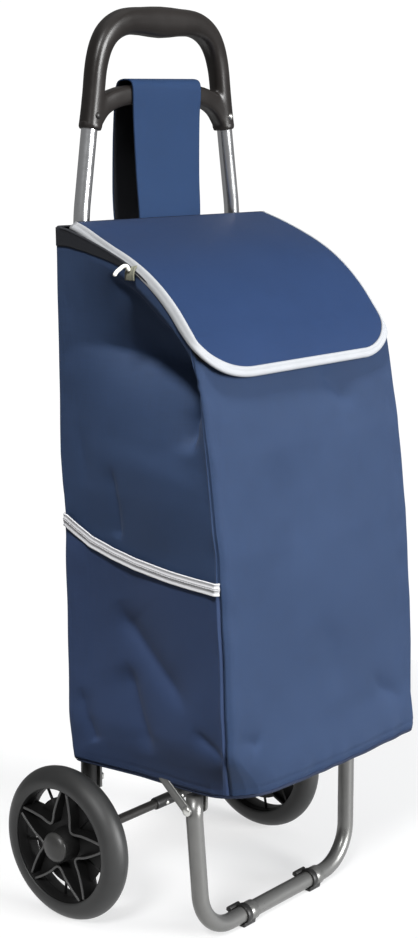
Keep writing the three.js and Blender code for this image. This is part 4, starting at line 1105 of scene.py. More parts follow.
def side_in(y, z):
    """How far the left wall lies inside its flat plane, in mm, at (y, z)."""
    yf = -front_depth(z)
    # distance from the seams keeps the wall tied to its edges
    edge = np.minimum(smoothstep(0, 40, -y), smoothstep(0, 30, y - yf))
    out = np.zeros_like(y)
    # broad hollow under the mouth, where the empty bag falls in
    zt = top_z(np.clip(y, -168, -0.3))
    below = zt - z
    valley = [(2, 590), (-43, 589), (-80, 581.5), (-108, 577), (-139, 574), (-160, 569)]
    d, sg, fr = seg_dist(y, z, valley)
    above = sg < 0
    # from the mouth strip down to the valley the wall slopes in
    zv = np.interp(-y, [0, 43, 80, 108, 139, 164], [590, 589, 581.5, 577, 574, 566])
    top_line = zt - 14
    span = np.maximum(top_line - zv, 4)
    t_up = np.clip((z - zv) / span, 0, 1.0)
    amp = 4.0 + 34.0 * smoothstep(10, 105, -y) * (1 - 0.35 * smoothstep(140, 168, -y))
    prof_up = (1 - t_up) ** 1.15
    t_dn = np.clip((zv - z) / 105.0, 0, 1)
    prof_dn = np.exp(-t_dn * 3.1) * (1 - smoothstep(0.75, 1.0, t_dn))
    hollow = np.where(z >= zv, prof_up, prof_dn)
    out += amp * hollow * np.where(z > top_line + 13.9, 0, 1)
    # fold that turns down beside the front seam
    out += crease(y, z, [(-166, 560), (-162, 548), (-153, 527), (-154, 511), (-159, 497)], 15.0, 5.0, 10.0, (0.05, 0.7), 1.5)
    # the pinch under the mouth strip
    strip = [(-60, 657), (-92, 640), (-113, 617), (-135, 602), (-154, 588), (-168, 566)]
    out += crease(y, z, strip, 6.0, 3.5, 9.0, (0.1, 0.95), 1.0)
    # thin upright fold above the pocket
    out += crease(y, z, [(-58, 480), (-62, 458), (-66, 430), (-66, 404)], 4.0, 2.6, 8.0, (0.3, 0.9), 0.8)
    # soft billow of the lower wall and its diagonal folds
    out += 7.5 * np.exp(-(((y + 62) / 62) ** 2) - (((z - 330) / 120) ** 2)) - 4.0 * np.exp(-(((y + 120) / 48) ** 2) - (((z - 455) / 60) ** 2))
    out += crease(y, z, [(-60, 345), (-72, 322), (-95, 301), (-138, 264), (-160, 246)], 7.0, 16, 9, (0.25, 0.7), 3.0)
    out += crease(y, z, [(-70, 285), (-77, 267), (-88, 238), (-100, 210), (-104, 190)], 6.0, 7, 15, (0.25, 0.75), 3.0)
    out += crease(y, z, [(-158, 236), (-172, 226), (-186, 219), (-200, 211)], 4.5, 6, 6, (0.4, 0.97), 1.5)
    out += crease(y, z, [(-14, 250), (-20, 218), (-32, 190)], 4.5, 6, 9, (0.3, 0.9), 2.0)
    out += crease(y, z, [(-18, 520), (-26, 470), (-22, 440)], 2.0, 8, 6, (0.4, 0.6), 2.0)
    rel = np.minimum(edge + 0.25 * smoothstep(2, 14, y - yf) * smoothstep(2, 14, -y), 1.0)
    # small puckers beside the seams
    pk = 0.5 * np.sin(z / 9.0 + 1.3 * np.sin(z / 31.0)) * (np.exp(-((y - yf - 9) / 7) ** 2) + 0.8 * np.exp(-((-y - 9) / 8) ** 2))
    return out * rel + pk


def side_in_right(y, z):
    """The right wall sags in its own way: one long hollow and two folds."""
    yf = -front_depth(z)
    edge = np.minimum(smoothstep(0, 40, -y), smoothstep(0, 32, y - yf))
    zt = top_z(np.clip(y, -168, -0.3))
    zv = np.interp(-y, [0, 50, 110, 164], [570, 580, 572, 545])
    top_line = zt - 14
    span = np.maximum(top_line - zv, 4)
    t_up = np.clip((z - zv) / span, 0, 1)
    amp = 2.0 + 9.0 * smoothstep(10, 110, -y)
    t_dn = np.clip((zv - z) / 150.0, 0, 1)
    out = amp * np.where(z >= zv, (1 - t_up) ** 1.2, np.exp(-t_dn * 3.0) * (1 - smoothstep(0.75, 1, t_dn)))
    out += 6.0 * np.exp(-(((y + 90) / 60) ** 2) - (((z - 330) / 130) ** 2))
    out += crease(y, z, [(-40, 430), (-80, 395), (-130, 350), (-165, 325)], 3.5, 14, 9, (0.3, 0.7), 3.0)
    out += crease(y, z, [(-60, 290), (-75, 250), (-82, 205)], 3.2, 8, 14, (0.3, 0.75), 3.0)
    out += crease(y, z, [(-150, 540), (-156, 500), (-160, 470)], 3.0, 6, 9, (0.3, 0.7), 2.0)
    pk = 0.5 * np.sin(z / 8.3 + 1.1 * np.sin(z / 27.0)) * (np.exp(-((y - yf - 9) / 7) ** 2) + 0.8 * np.exp(-((-y - 9) / 8) ** 2))
    return out * edge + pk


def front_in(x, z):
    """How far the front wall lies behind its own plane, in mm, at (x, z)."""
    edge = smoothstep(0, 45, 150 - np.abs(x))
    out = -5.0 * np.exp(-((x / 95) ** 2) - (((z - 330) / 170) ** 2))            # belly
    out += 4.6 * crease(x, z, [(25, 560), (48, 547), (66, 530), (80, 512)], 1.0, 9, 12, (0.3, 0.6), 3.0)
    out += 3.6 * crease(x, z, [(-60, 505), (-40, 430), (-44, 360)], 1.0, 22, 26, (0.4, 0.6), 6.0)
    out += 3.6 * crease(x, z, [(70, 250), (98, 225), (128, 208), (150, 200)], 1.0, 9, 9, (0.4, 0.9), 2.0)
    out += 3.0 * crease(x, z, [(-30, 330), (10, 290), (20, 230)], 1.0, 24, 18, (0.4, 0.6), 5.0)
    out += 3.4 * crease(x, z, [(-100, 216), (-118, 224), (-138, 232)], 1.0, 7, 7, (0.3, 0.8), 2.0)
    out += 1.2 * np.sin(x / 38.0 + 0.8) * np.sin(z / 71.0 + 0.4)
    pk = 0.45 * np.sin(z / 8.7 + 1.2 * np.sin(z / 29.0)) * (np.exp(-((150 - x - 10) / 7) ** 2) + np.exp(-((150 + x - 10) / 7) ** 2))
    # rows of small puckers along the bottom hem
    pk2 = 0.7 * np.sin(x / 6.1 + 1.4 * np.sin(x / 23.0)) * np.exp(-((z - 172) / 14) ** 2)
    return out * edge + pk + pk2


def back_in(x, z):
    out = 3.0 * np.exp(-((x / 90) ** 2) - (((z - 420) / 150) ** 2))
    out += 1.6 * crease(x, z, [(-120, 300), (-60, 280), (0, 285), (70, 260)], 1.0, 14, 18, (0.3, 0.7), 4.0)
    out += 1.4 * crease(x, z, [(-80, 560), (-20, 520), (60, 540)], 1.0, 16, 12, (0.3, 0.7), 4.0)
    return out * smoothstep(0, 50, 150 - np.abs(x))


def stations():
    """Parameters round the bag's section: kind, t. Dense near the seams."""
    def spaced(n, dense_ends=True):
        t = np.linspace(0, 1, n)
        return 0.5 - 0.5 * np.cos(math.pi * t) if dense_ends else t
    st = []
    st += [("back", t) for t in np.linspace(0.5, 0.0, 30)[:-1]]       # centre to the left (x -)
    st += [("bl", t) for t in np.linspace(0, 1, 8)[:-1]]
    st += [("left", t) for t in spaced(96)[:-1]]
    st += [("fl", t) for t in np.linspace(0, 1, 17)[:-1]]
    st += [("front", t) for t in spaced(120)[:-1]]
    st += [("fr", t) for t in np.linspace(0, 1, 17)[:-1]]
    st += [("right", t) for t in spaced(96)[:-1]]
    st += [("br", t) for t in np.linspace(0, 1, 8)[:-1]]
    st += [("back", t) for t in np.linspace(1.0, 0.5, 30)[:-1]]
    return st


RF_LEFT, RF_RIGHT, RB_CORNER = 9.0, 5.0, 3.0
W_BASE = 150.0


def left_half(y, z):
    """Half width on the left: the wall toes out toward the back."""
    t = np.clip(1 + np.asarray(y, float) / 205.0, 0.0, 1.0)
    xb = np.interp(z, [166, 230, 400, 450, 700], [150.5, 151.2, 151.2, 154.5, 156])
    return 147.5 + (xb - 147.5) * t ** 0.8


def right_half(z):
    return np.interp(z, [166, 260, 330, 600, 700], [154.0, 155.0, 153.0, 152.5, 150.5])


# the left half of the hem, where the bag narrows to the platform: side, corner, front
HEM = {
    "left": [(-146, -4), (-137.5, -81), (-136.8, -132), (-136, -152), (-134, -170), (-128.5, -182)],
    "fl": [(-128.5, -182), (-122, -190), (-113, -197.5), (-101, -203)],
    "front": [(-101, -203), (-80, -207.5), (-67, -208.5), (-20, -210.5), (48, -213), (147, -212)],
}


def along(line, t):
    p = np.array(line, float)
    L = np.concatenate([[0], np.cumsum(np.linalg.norm(np.diff(p, axis=0), axis=1))])
    return np.interp(t * L[-1], L, p[:, 0]), np.interp(t * L[-1], L, p[:, 1])


def section(kind, t, v):
    """A point of the undistorted shell; v is 0 at the hem and 1 at the mouth."""
    zf = 166 + v * (584 - 166)
    Y = float(front_depth(zf))                # front wall depth for this row
    yb, yf, W = -0.9, -Y, W_BASE
    fl_, fr_, rb = RF_LEFT, RF_RIGHT, RB_CORNER
    if kind == "back":
        x, y, n = -W + rb + 2 * (W - rb) * t, yb, (0, 1, 0)
    elif kind == "bl":
        a = math.radians(90 + 90 * t)
        x, y, n = -W + rb + rb * math.cos(a), yb - rb + rb * math.sin(a), (math.cos(a), math.sin(a), 0)
    elif kind == "left":
        x, y, n = -W, (yb - rb) + ((yf + fl_) - (yb - rb)) * t, (-1, 0, 0)
    elif kind == "fl":
        a = math.radians(180 + 90 * t)
        x, y, n = -W + fl_ + fl_ * math.cos(a), yf + fl_ + fl_ * math.sin(a), (math.cos(a), math.sin(a), 0)
    elif kind == "front":
        x, y, n = -W + fl_ + (2 * W - fl_ - fr_) * t, yf, (0, -1, 0)
    elif kind == "fr":
        a = math.radians(270 + 90 * t)
        x, y, n = W - fr_ + fr_ * math.cos(a), yf + fr_ + fr_ * math.sin(a), (math.cos(a), math.sin(a), 0)
    elif kind == "right":
        x, y, n = W, (yf + fr_) + ((yb - rb) - (yf + fr_)) * t, (1, 0, 0)
    else:
        a = math.radians(90 * (1 - t) * 1.0)
        a = math.radians(90 * t)
        x, y, n = W - rb + rb * math.cos(a), yb - rb + rb * math.sin(a), (math.cos(a), math.sin(a), 0)
    f = min(1.0, max(0.0, -y / Y))
    yt = -168.0 * f
    zt = float(top_z(yt)) if f < 0.999 else 584.0
    # the back panel stops higher between the uprights, clear of the frame
    z0 = 166.0
    if y > -8:
        z0 += 17.0 * float(smoothstep(150, 132, abs(x))) * float(smoothstep(-8, -3, y))
    z = z0 + v * (zt - z0)
    low = 1 - float(smoothstep(166, 222, z))
    if low > 0 and kind in HEM:
        hx_, hy_ = along(HEM[kind], t)
        x += (float(hx_) - x) * low
        y += (float(hy_) - y) * low
    side = float(smoothstep(60, 140, abs(x)))
    if x < 0:
        x -= (float(left_half(y, z)) - W_BASE) * side * (1 - low)
        if kind in ("bl", "back"):
            x += 4.0 * low * side
    else:
        x += (float(right_half(z)) - W_BASE) * side
    # the back corners stand behind the plane of the uprights
    if y > -12:
        bulge = float(np.interp(z, [166, 440, 480, 700], [3, 3, 6, 6])) + 0.9
        y += bulge * float(smoothstep(124, 152, abs(x))) * float(smoothstep(-12, -3, y))
    return x, y, z, n, f


def build_shell():
    st = stations()
    vs = np.concatenate([np.linspace(0, 0.06, 14)[:-1], np.linspace(0.06, 0.94, 112)[:-1], np.linspace(0.94, 1.0, 14)])
    P, N, K = [], [], []
    for v in vs:
        for kind, t in st:
            x, y, z, n, f = section(kind, t, float(v))
            P.append((x, y, z)); N.append(n); K.append(kind)
    P, N = np.array(P, float), np.array(N, float)
    K = np.array(K)
    nu, nv = len(st), len(vs)
    # UVs before any fold: arc length round, height up
    row = P.reshape(nv, nu, 3)
    mid = row[nv // 2]
    seg = np.linalg.norm(np.diff(np.vstack([mid, mid[:1]]), axis=0), axis=1)
    u = np.concatenate([[0], np.cumsum(seg)])[:-1]
    uv = np.stack([np.tile(u, nv), P[:, 2]], 1) * MM
    # folds
    y, z, x = P[:, 1], P[:, 2], P[:, 0]
    calm = 0.2 + 0.8 * smoothstep(168, 214, z)        # the sewn hem keeps its line
    dl = side_in(y, z) * calm
    dr = side_in_right(y, z) * calm
    df = front_in(x, z)
    db = back_in(x, z)
    wl = np.clip(-N[:, 0], 0, 1); wr = np.clip(N[:, 0], 0, 1)
    wf = np.clip(-N[:, 1], 0, 1); wb = np.clip(N[:, 1], 0, 1)
    Q = P.copy()
    Q[:, 0] += wl * dl - wr * dr
    Q[:, 1] += wf * df - wb * db
    # the seams at the front corners: a thin groove, the side panel's edge proud
    arc_len = np.concatenate([np.zeros((nv, 1)), np.cumsum(np.linalg.norm(np.diff(row, axis=1), axis=2), axis=1)], 1)
    kinds = [k for k, _ in st]
    for first, flip in ((kinds.index("fl") + 2, 1), (kinds.index("fr") + 8, -1)):
        arc = ((arc_len - arc_len[:, first:first + 1]) * flip).reshape(-1)     # mm, + toward the front panel
        g = 1.6 * np.exp(-((arc / 1.1) ** 2)) - 1.0 * np.exp(-(((arc + 2.6) / 1.5) ** 2)) - 0.4 * np.exp(-(((arc - 2.4) / 1.6) ** 2))
        Q -= g[:, None] * N
    # small seam at the back corners
    for first in (kinds.index("bl") + 3, kinds.index("br") + 3):
        arc = (arc_len - arc_len[:, first:first + 1]).reshape(-1)
        Q -= (0.7 * np.exp(-((arc / 1.2) ** 2)))[:, None] * N
    # hem: turned under, a little inward, with a shallow sewn line 8 mm up
    up = P[:, 2] - np.tile(row[0, :, 2], nv)
    hem = np.exp(-(((up - 8.5) / 1.3) ** 2)) * 0.8
    curl = (1 - smoothstep(0, 9, up)) * 1.4
    Q -= (hem + curl)[:, None] * N
    # nothing touches the uprights behind the back wall
    Q += (0.45 * noise3(Q, 11, 70.0) * smoothstep(170, 230, Q[:, 2]))[:, None] * N
    inner = np.abs(Q[:, 0]) < 128
    Q[:, 1] = np.where(inner, np.minimum(Q[:, 1], -0.5), Q[:, 1])
    return Q, N, uv, nu, nv, st, vs


SHELL, SHELL_N, SHELL_UV, NU, NV, STATIONS, ROWS = build_shell()
KINDS = np.array([k for k, _ in STATIONS])


def shell_object(name, points, uv):
    faces = grid(NU, NV, True)
    # the seam column where u wraps needs its own UVs, so build per loop
    me = bpy.data.meshes.new(name)
    me.from_pydata([tuple(v) for v in to_m(points)], [], faces)
    me.materials.append(M_CLOTH)
    me.materials.append(M_LINING)
    layer = me.uv_layers.new(name="UVMap")
    idx = np.zeros(len(me.loops), np.int32)
    me.loops.foreach_get("vertex_index", idx)
    luv = uv[idx].copy()
    face_of = np.repeat(np.arange(len(faces)), 4)
    col = np.array([f[0] % NU for f in faces])[face_of]
    wrap = (col == NU - 1) & (idx % NU == 0)
    total = uv[:NU, 0].max() + 0.004
    luv[wrap, 0] += total
    layer.data.foreach_set("uv", luv.astype(np.float32).reshape(-1))
    me.polygons.foreach_set("use_smooth", [True] * len(me.polygons))
    me.update()
    return link(bpy.data.objects.new(name, me))


shell = shell_object("bag_shell", SHELL, SHELL_UV)
outward(shell)
# outward() on an open shell may pick either side: test and flip if needed
c0 = Vector((0, (-100 + OY) * MM, 0.4))
p0 = shell.data.polygons[len(shell.data.polygons) // 2]
if (p0.center - c0).dot(p0.normal) < 0:
    shell.data.flip_normals()
sol = shell.modifiers.new("thickness", "SOLIDIFY")
sol.thickness = 1.4 * MM
sol.offset = -1.0
sol.use_rim = True
sol.material_offset = 1
sol.material_offset_rim = 0
apply_all(shell)
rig.ride(shell, "frame")
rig.replaces(shell, "bag_front", "bag_back", "bag_side_left", "bag_side_right")
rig.slot(shell, "bag_fabric")


def shell_point(kind_list, v):
    """Mean shell line for the given station kinds at row v (nearest row)."""
    j = int(np.argmin(np.abs(ROWS - v)))
    return SHELL[j * NU:(j + 1) * NU][np.isin(KINDS, kind_list)]


# piping along the hem, round the whole bag
ring_pts = SHELL[:NU].copy()
ring_n = SHELL_N[:NU]
ring_pts = ring_pts - ring_n * 0.2
ring_pts[:, 2] -= 0.2


def closed_sweep(name, pts, radius, mat, sides=14, uvscale=1.0):
    p = np.asarray(pts, float)
    n = len(p)
    t = np.roll(p, -1, 0) - np.roll(p, 1, 0)
    t /= np.linalg.norm(t, axis=1)[:, None]
    up = np.array([0, 0, 1.0])
    b = np.cross(t, up)
    b /= np.linalg.norm(b, axis=1)[:, None]
    nn = np.cross(b, t)
    a = np.linspace(0, 2 * math.pi, sides, endpoint=False)
    verts = (p[:, None, :] + radius * (np.cos(a)[None, :, None] * b[:, None, :] + np.sin(a)[None, :, None] * nn[:, None, :])).reshape(-1, 3)
    faces = []
    for j in range(n):
        k = (j + 1) % n
        for i in range(sides):
            i2 = (i + 1) % sides
            faces.append((j * sides + i, k * sides + i, k * sides + i2, j * sides + i2))
    L = np.concatenate([[0], np.cumsum(np.linalg.norm(np.diff(p, axis=0), axis=1))])
    uv = np.stack([np.repeat(L, sides), np.tile(a * radius, n)], 1) * MM
    return outward(make(name, verts, faces, mat, uv=uv))


def smooth_closed(p, it):
    for _ in range(it):
        p = 0.5 * p + 0.25 * (np.roll(p, 1, 0) + np.roll(p, -1, 0))
    return p


def even_closed(pts, step):
    p = np.vstack([pts, pts[:1]])
    L = np.concatenate([[0], np.cumsum(np.linalg.norm(np.diff(p, axis=0), axis=1))])
    n = int(L[-1] / step)
    s = np.linspace(0, L[-1], n, endpoint=False)
    return np.stack([np.interp(s, L, p[:, k]) for k in range(3)], 1)


hem_line = smooth_closed(even_closed(ring_pts, 3.0), 3)
piping = closed_sweep("hem_piping", hem_line, 1.7, M_PIPING)
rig.ride(piping, "frame"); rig.slot(piping, "bag_fabric")

# bottom panel: a grid squeezed into the shell's own outline at its height
r0 = int(np.argmin(np.abs(SHELL.reshape(NV, NU, 3)[:, list(KINDS).index("left") + 40, 2] - 180)))
outl = SHELL.reshape(NV, NU, 3)[r0][:, :2] - SHELL_N[:NU, :2] * 2.2
outl = outl[np.argsort(np.unwrap(np.arctan2(outl[:, 1] + 105, outl[:, 0])))]
ang_o = np.arctan2(outl[:, 1] + 105, outl[:, 0])
rad_o = np.hypot(outl[:, 0], outl[:, 1] + 105)
order = np.argsort(ang_o)
ang_o, rad_o = ang_o[order], rad_o[order]
angs = np.linspace(-math.pi, math.pi, 180, endpoint=False)
rim_r = np.interp(angs, ang_o, rad_o, period=2 * math.pi)
rings = 26
pts, faces = [(0, -105, 179.0)], []
for k in range(1, rings + 1):
    q = k / rings
    for a_, r_ in zip(angs, rim_r):
        sag = 0.5 * math.cos(q * math.pi / 2)
        pts.append((q * r_ * math.cos(a_), min(-105 + q * r_ * math.sin(a_), -1.6), 179.6 - sag))
for i in range(180):
    faces.append((0, 1 + i, 1 + (i + 1) % 180))
for k in range(rings - 1):
    for i in range(180):
        j = (i + 1) % 180
        faces.append((1 + k * 180 + i, 1 + (k + 1) * 180 + i, 1 + (k + 1) * 180 + j, 1 + k * 180 + j))
bottom = make("bag_bottom_panel", pts, faces, M_CLOTH, uv=np.array(pts)[:, :2] * MM)
outward(bottom)
so = bottom.modifiers.new("thickness", "SOLIDIFY"); so.thickness = 1.4 * MM; so.offset = 0
apply_all(bottom)
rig.ride(bottom, "frame"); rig.replaces(bottom, "bag_bottom"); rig.slot(bottom, "bag_fabric")

# base board with rounded corners and a slight rub on its edges
bd = []
for (cx, cy, rr_, a0) in ((-100, -168, 26, 180), (130, -186, 12, 270), (132, -25, 10, 0), (-130, -25, 10, 90)):
    for a in np.linspace(a0, a0 + 90, 10):
        bd.append((cx + rr_ * math.cos(math.radians(a)), cy + rr_ * math.sin(math.radians(a))))
bm = bmesh.new()
vs_ = [bm.verts.new((p[0] * MM, (p[1] + OY) * MM, 0.1812)) for p in bd]
bm.faces.new(vs_)
got = bmesh.ops.extrude_face_region(bm, geom=list(bm.faces))
bmesh.ops.translate(bm, vec=(0, 0, 0.0036), verts=[g for g in got["geom"] if isinstance(g, bmesh.types.BMVert)])
bmesh.ops.recalc_face_normals(bm, faces=bm.faces)
me = bpy.data.meshes.new("base_board_panel"); bm.to_mesh(me); bm.free(); me.materials.append(M_BOARD)
board = link(bpy.data.objects.new("base_board_panel", me))
auto_bevel(board, 0.8, 3, 40)
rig.ride(board, "frame"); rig.replaces(board, "base_board"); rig.slot(board, "board")


# ---------------------------------------------------------------- mouth hem
# dark bound edge round the mouth; on the left it shows under the flap, where its black is partly the real edge and
# partly a painted shadow line under the flap's binding
mouth = SHELL[(NV - 1) * NU:].copy()
mouth_line = smooth_closed(even_closed(mouth - SHELL_N[(NV - 1) * NU:] * 0.5, 3.0), 2)
mh = closed_sweep("mouth_edge_binding_and_shadow_line", mouth_line, 1.5, M_LINING)
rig.ride(mh, "frame"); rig.slot(mh, "bag_fabric")


# ---------------------------------------------------------------------- pocket
GRID = SHELL.reshape(NV, NU, 3)
COL0, COL1 = list(KINDS).index("bl") + 2, list(KINDS).index("fl") + 2     # back corner to front-left seam


def on_wall(cols, z_of_y, off):
    """Points on the left wall's outer face at the heights z_of_y(y), one per
    shell column, lifted off by off mm."""
    out = []
    for c in cols:
        col = GRID[:, c]
        zz = float(z_of_y(np.interp(300.0, col[:, 2], col[:, 1])))
        y = float(np.interp(zz, col[:, 2], col[:, 1]))
        zz = float(z_of_y(y))
        n = SHELL_N[c]
        out.append((float(np.interp(zz, col[:, 2], col[:, 0])) + n[0] * off, float(np.interp(zz, col[:, 2], col[:, 1])) + n[1] * off, zz))
    return np.array(out)


def wall_x(y, z):
    """x of the left wall's outer face at (y, z)."""
    y = np.asarray(y, float).reshape(-1); z = np.asarray(z, float).reshape(-1)
    out = []
    for a_, b_ in zip(y, z):
        r = int(np.argmin(np.abs(GRID[:, COL0 + 40, 2] - b_)))
        line = GRID[r, COL0:COL1 + 1]
        out.append(np.interp(-a_, -line[:, 1], line[:, 0]))
    return np.array(out)


TAPE = np.array([(-4, 420.5), (-14, 413.5), (-33, 402), (-60, 394), (-89, 388.5), (-135, 384), (-165, 382), (-189, 381), (-205, 380.5)], float)


def tape_z(y):
    return np.interp(-y, -TAPE[:, 0], TAPE[:, 1])


cols = list(range(COL0, COL1 + 1))
pnu, pnv = len(cols), 110
pp = []
for v in np.linspace(0, 1, pnv):
    k = np.linspace(0, 1, pnu)
    edge_ = np.minimum(smoothstep(0, 0.10, k), smoothstep(0, 0.10, 1 - k))
    rows_ = []
    for i, c in enumerate(cols):
        off = 0.7 + 0.9 * edge_[i] + 1.3 * edge_[i] * float(smoothstep(0.5, 1.0, v))
        rows_.append(on_wall([c], lambda y, v=v: 167.5 + v * (tape_z(y) - 167.5), off)[0])
    pp += rows_
pp = np.array(pp)
puv = np.stack([pp[:, 1], pp[:, 2]], 1) * MM
pocket = make("side_pocket_panel", pp, grid(pnu, pnv), [M_POCKET, M_LINING], uv=puv)
if sum(p.normal.x for p in pocket.data.polygons) > 0:
    pocket.data.flip_normals()
so = pocket.modifiers.new("thickness", "SOLIDIFY"); so.thickness = 0.9 * MM; so.offset = -1.0
apply_all(pocket)
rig.ride(pocket, "frame"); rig.replaces(pocket, "side_pocket"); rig.slot(pocket, "bag_fabric")

# black facing inside the mouth's back left, which shows beside the flap; its black is partly the real lining and partly
# painted shade under the flap's overhang
fcols = [c for c in range(list(KINDS).index("bl"), COL1) if GRID[-1, c, 1] > -112]
fv = 12
face_pts = []
for k in range(fv):
    for c in fcols:
        col = GRID[:, c]
        tall = float(np.interp(-col[-1, 1], [0, 75, 112], [17, 6, 0.8]))
        zz = col[-1, 2] - tall * (1 - k / (fv - 1))
        n = SHELL_N[c]
        face_pts.append((float(np.interp(zz, col[:, 2], col[:, 0])) + n[0] * 0.7, float(np.interp(zz, col[:, 2], col[:, 1])) + n[1] * 0.7, zz))
facing_and_shade = make("mouth_facing_and_shade_strip", face_pts, grid(len(fcols), fv), M_LINING, uv=np.array(face_pts)[:, 1:] * MM)
if sum(p.normal.x for p in facing_and_shade.data.polygons) > 0:
    facing_and_shade.data.flip_normals()
so = facing_and_shade.modifiers.new("thickness", "SOLIDIFY"); so.thickness = 0.9 * MM; so.offset = -1.0
apply_all(facing_and_shade)
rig.ride(facing_and_shade, "frame"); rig.slot(facing_and_shade, "bag_fabric")


def ribbon(name, centre, across, normal, width, thick, mat, crown=0.35, ridges=0.0, n_across=13, closed_ends=True):
    """A flat tape: closed strip with a slightly crowned face. centre, across
    and normal are arrays; UV x runs along in metres, UV y across 0..1."""
    c = np.asarray(centre, float); a = np.asarray(across, float); n = np.asarray(normal, float)
    L = np.concatenate([[0], np.cumsum(np.linalg.norm(np.diff(c, axis=0), axis=1))])
    t = np.linspace(-0.5, 0.5, n_across)
    top = thick * (1 - crown * (2 * t) ** 4) + ridges * np.cos(t * 2 * math.pi * 2)
    verts, uv = [], []
    for i in range(len(c)):
        for k in range(n_across):
            verts.append(c[i] + a[i] * width * t[k] + n[i] * top[k]); uv.append((L[i] * MM, t[k] + 0.5))
        for k in range(n_across - 1, -1, -1):
            verts.append(c[i] + a[i] * width * t[k] - n[i] * 0.1); uv.append((L[i] * MM, t[k] + 0.5))
    m = 2 * n_across
    faces = grid(m, len(c), True)
    faces.append(tuple(range(m))); faces.append(tuple((len(c) - 1) * m + k for k in range(m)))
    ob = outward(make(name, verts, faces, mat, uv=np.array(uv)))
    return ob


# pocket tape follows the pocket's top row
top_row = pp[(pnv - 1) * pnu:]
L = np.concatenate([[0], np.cumsum(np.linalg.norm(np.diff(top_row, axis=0), axis=1))])
s_ = np.linspace(0, L[-1], 120)
tc_ = np.stack([np.interp(s_, L, top_row[:, k]) for k in range(3)], 1)
tan = np.gradient(tc_, axis=0); tan /= np.linalg.norm(tan, axis=1)[:, None]
nrm = np.tile([-1.0, 0, 0], (len(tc_), 1)); nrm -= np.sum(nrm * tan, 1)[:, None] * tan; nrm /= np.linalg.norm(nrm, axis=1)[:, None]
acr = np.cross(tan, nrm)
acr *= np.sign(acr[:, 2])[:, None]
tape = ribbon("pocket_tape_band", tc_ - acr * 4.6 + nrm * 0.25, acr, nrm, 12.0, 1.3, M_TAPE, crown=0.3, ridges=0.42, n_across=21)
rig.ride(tape, "frame"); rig.slot(tape, "bag_fabric")


# ------------------------------------------------------------------------ flap
FLAP_LINE = np.array([(-8, 703.5), (-34, 694.5), (-60, 684.6), (-84, 673.8), (-104.5, 661.6), (-123.2, 646.8), (-139.5, 630.4), (-152, 614.8), (-163, 600), (-172, 583), (-176.6, 566)], float)
fl = resample([(a, b, 0) for a, b in FLAP_LINE], 2.0)[:, :2]
FL_L = np.concatenate([[0], np.cumsum(np.linalg.norm(np.diff(fl, axis=0), axis=1))])
FL_T = np.gradient(fl, axis=0); FL_T /= np.linalg.norm(FL_T, axis=1)[:, None]
FL_N = np.stack([FL_T[:, 1], -FL_T[:, 0]], 1)
FL_N *= np.sign(FL_N[:, 1].mean())
FLAP_LEN = FL_L[-1]
RB, EDGE = 6.5, 11.5


def flat_x0(l, left):
    """Where the side lip starts to turn down, from the middle line."""
    l = np.asarray(l, float)
    return np.where(left, 144.5 - 7.0 * (1 - smoothstep(0, 65, l)), 141.5 + 0 * l)


def corner(left):
    """Radii of the flap's front corner, across and along."""
    return (76.0, 42.0) if left else (52.0, 45.0)


def flap_xyz(x, l, lift=0.0):
    """Bends a point of the flat flap (x across, l from its back edge) over
    the mouth; lift is its height over the cloth."""
    x = np.asarray(x, float); l = np.asarray(l, float)
    py = np.interp(l, FL_L, fl[:, 0]); pz = np.interp(l, FL_L, fl[:, 1])
    ny = np.interp(l, FL_L, FL_N[:, 0]); nz = np.interp(l, FL_L, FL_N[:, 1])
    nn = np.hypot(ny, nz); ny, nz = ny / nn, nz / nn
    X0 = flat_x0(l, x < 0)
    a = np.clip(np.abs(x) - X0, 0, None)
    th_max = np.radians(np.interp(l, [0, 45, 110, 190, FLAP_LEN], [36, 52, 74, 74, 40]))
    th = np.minimum(a / RB, th_max)
    rest = a - th * RB
    xx = np.minimum(np.abs(x), X0) + RB * np.sin(th) + rest * np.cos(th_max)
    drop = RB * (1 - np.cos(th)) + rest * np.sin(th_max)
    # the lip turns in less toward the front edge, where the cloth is flat on the bag
    keep = 1 - 0.75 * smoothstep(FLAP_LEN - 62, FLAP_LEN - 12, l)
    drop = drop * (0.35 + 0.65 * keep)
    # crown: the middle stands up a little; pillow front; slack near the corners
    u = np.minimum(np.abs(x) / 156.0, 1.0)
    crown = 5.0 * (1 - u ** 2.2) * np.sin(np.clip(l / FLAP_LEN, 0, 1) * math.pi) ** 0.8
    wave = 0.9 * np.sin(x / 47.0 + 1.0) * np.sin(l / 41.0) + 0.8 * np.sin(x / 83.0 - l / 60.0)
    wave = wave * smoothstep(4, 40, l)
    dimple = -2.0 * np.exp(-(((x - 40) / 46) ** 2) - (((l - 120) / 40) ** 2)) + 1.6 * np.exp(-(((x + 52) / 60) ** 2) - (((l - 150) / 44) ** 2))
    h = crown + wave + dimple - drop + lift + 1.5
    nxs = np.sign(x) * np.sin(th) * keep
    nl = np.cos(th)
    return np.stack([np.sign(x) * xx, py + ny * h, pz + nz * h], -1), np.stack([nxs, ny * nl, nz * nl], -1)


def flap_half(l, left):
    l = np.asarray(l, float)
    rx, rl = corner(left)
    d = np.clip(l - (FLAP_LEN - rl), 0, rl) / rl
    return flat_x0(l, left) + EDGE - rx * (1 - np.sqrt(np.maximum(1 - d ** 2.0, 0)))


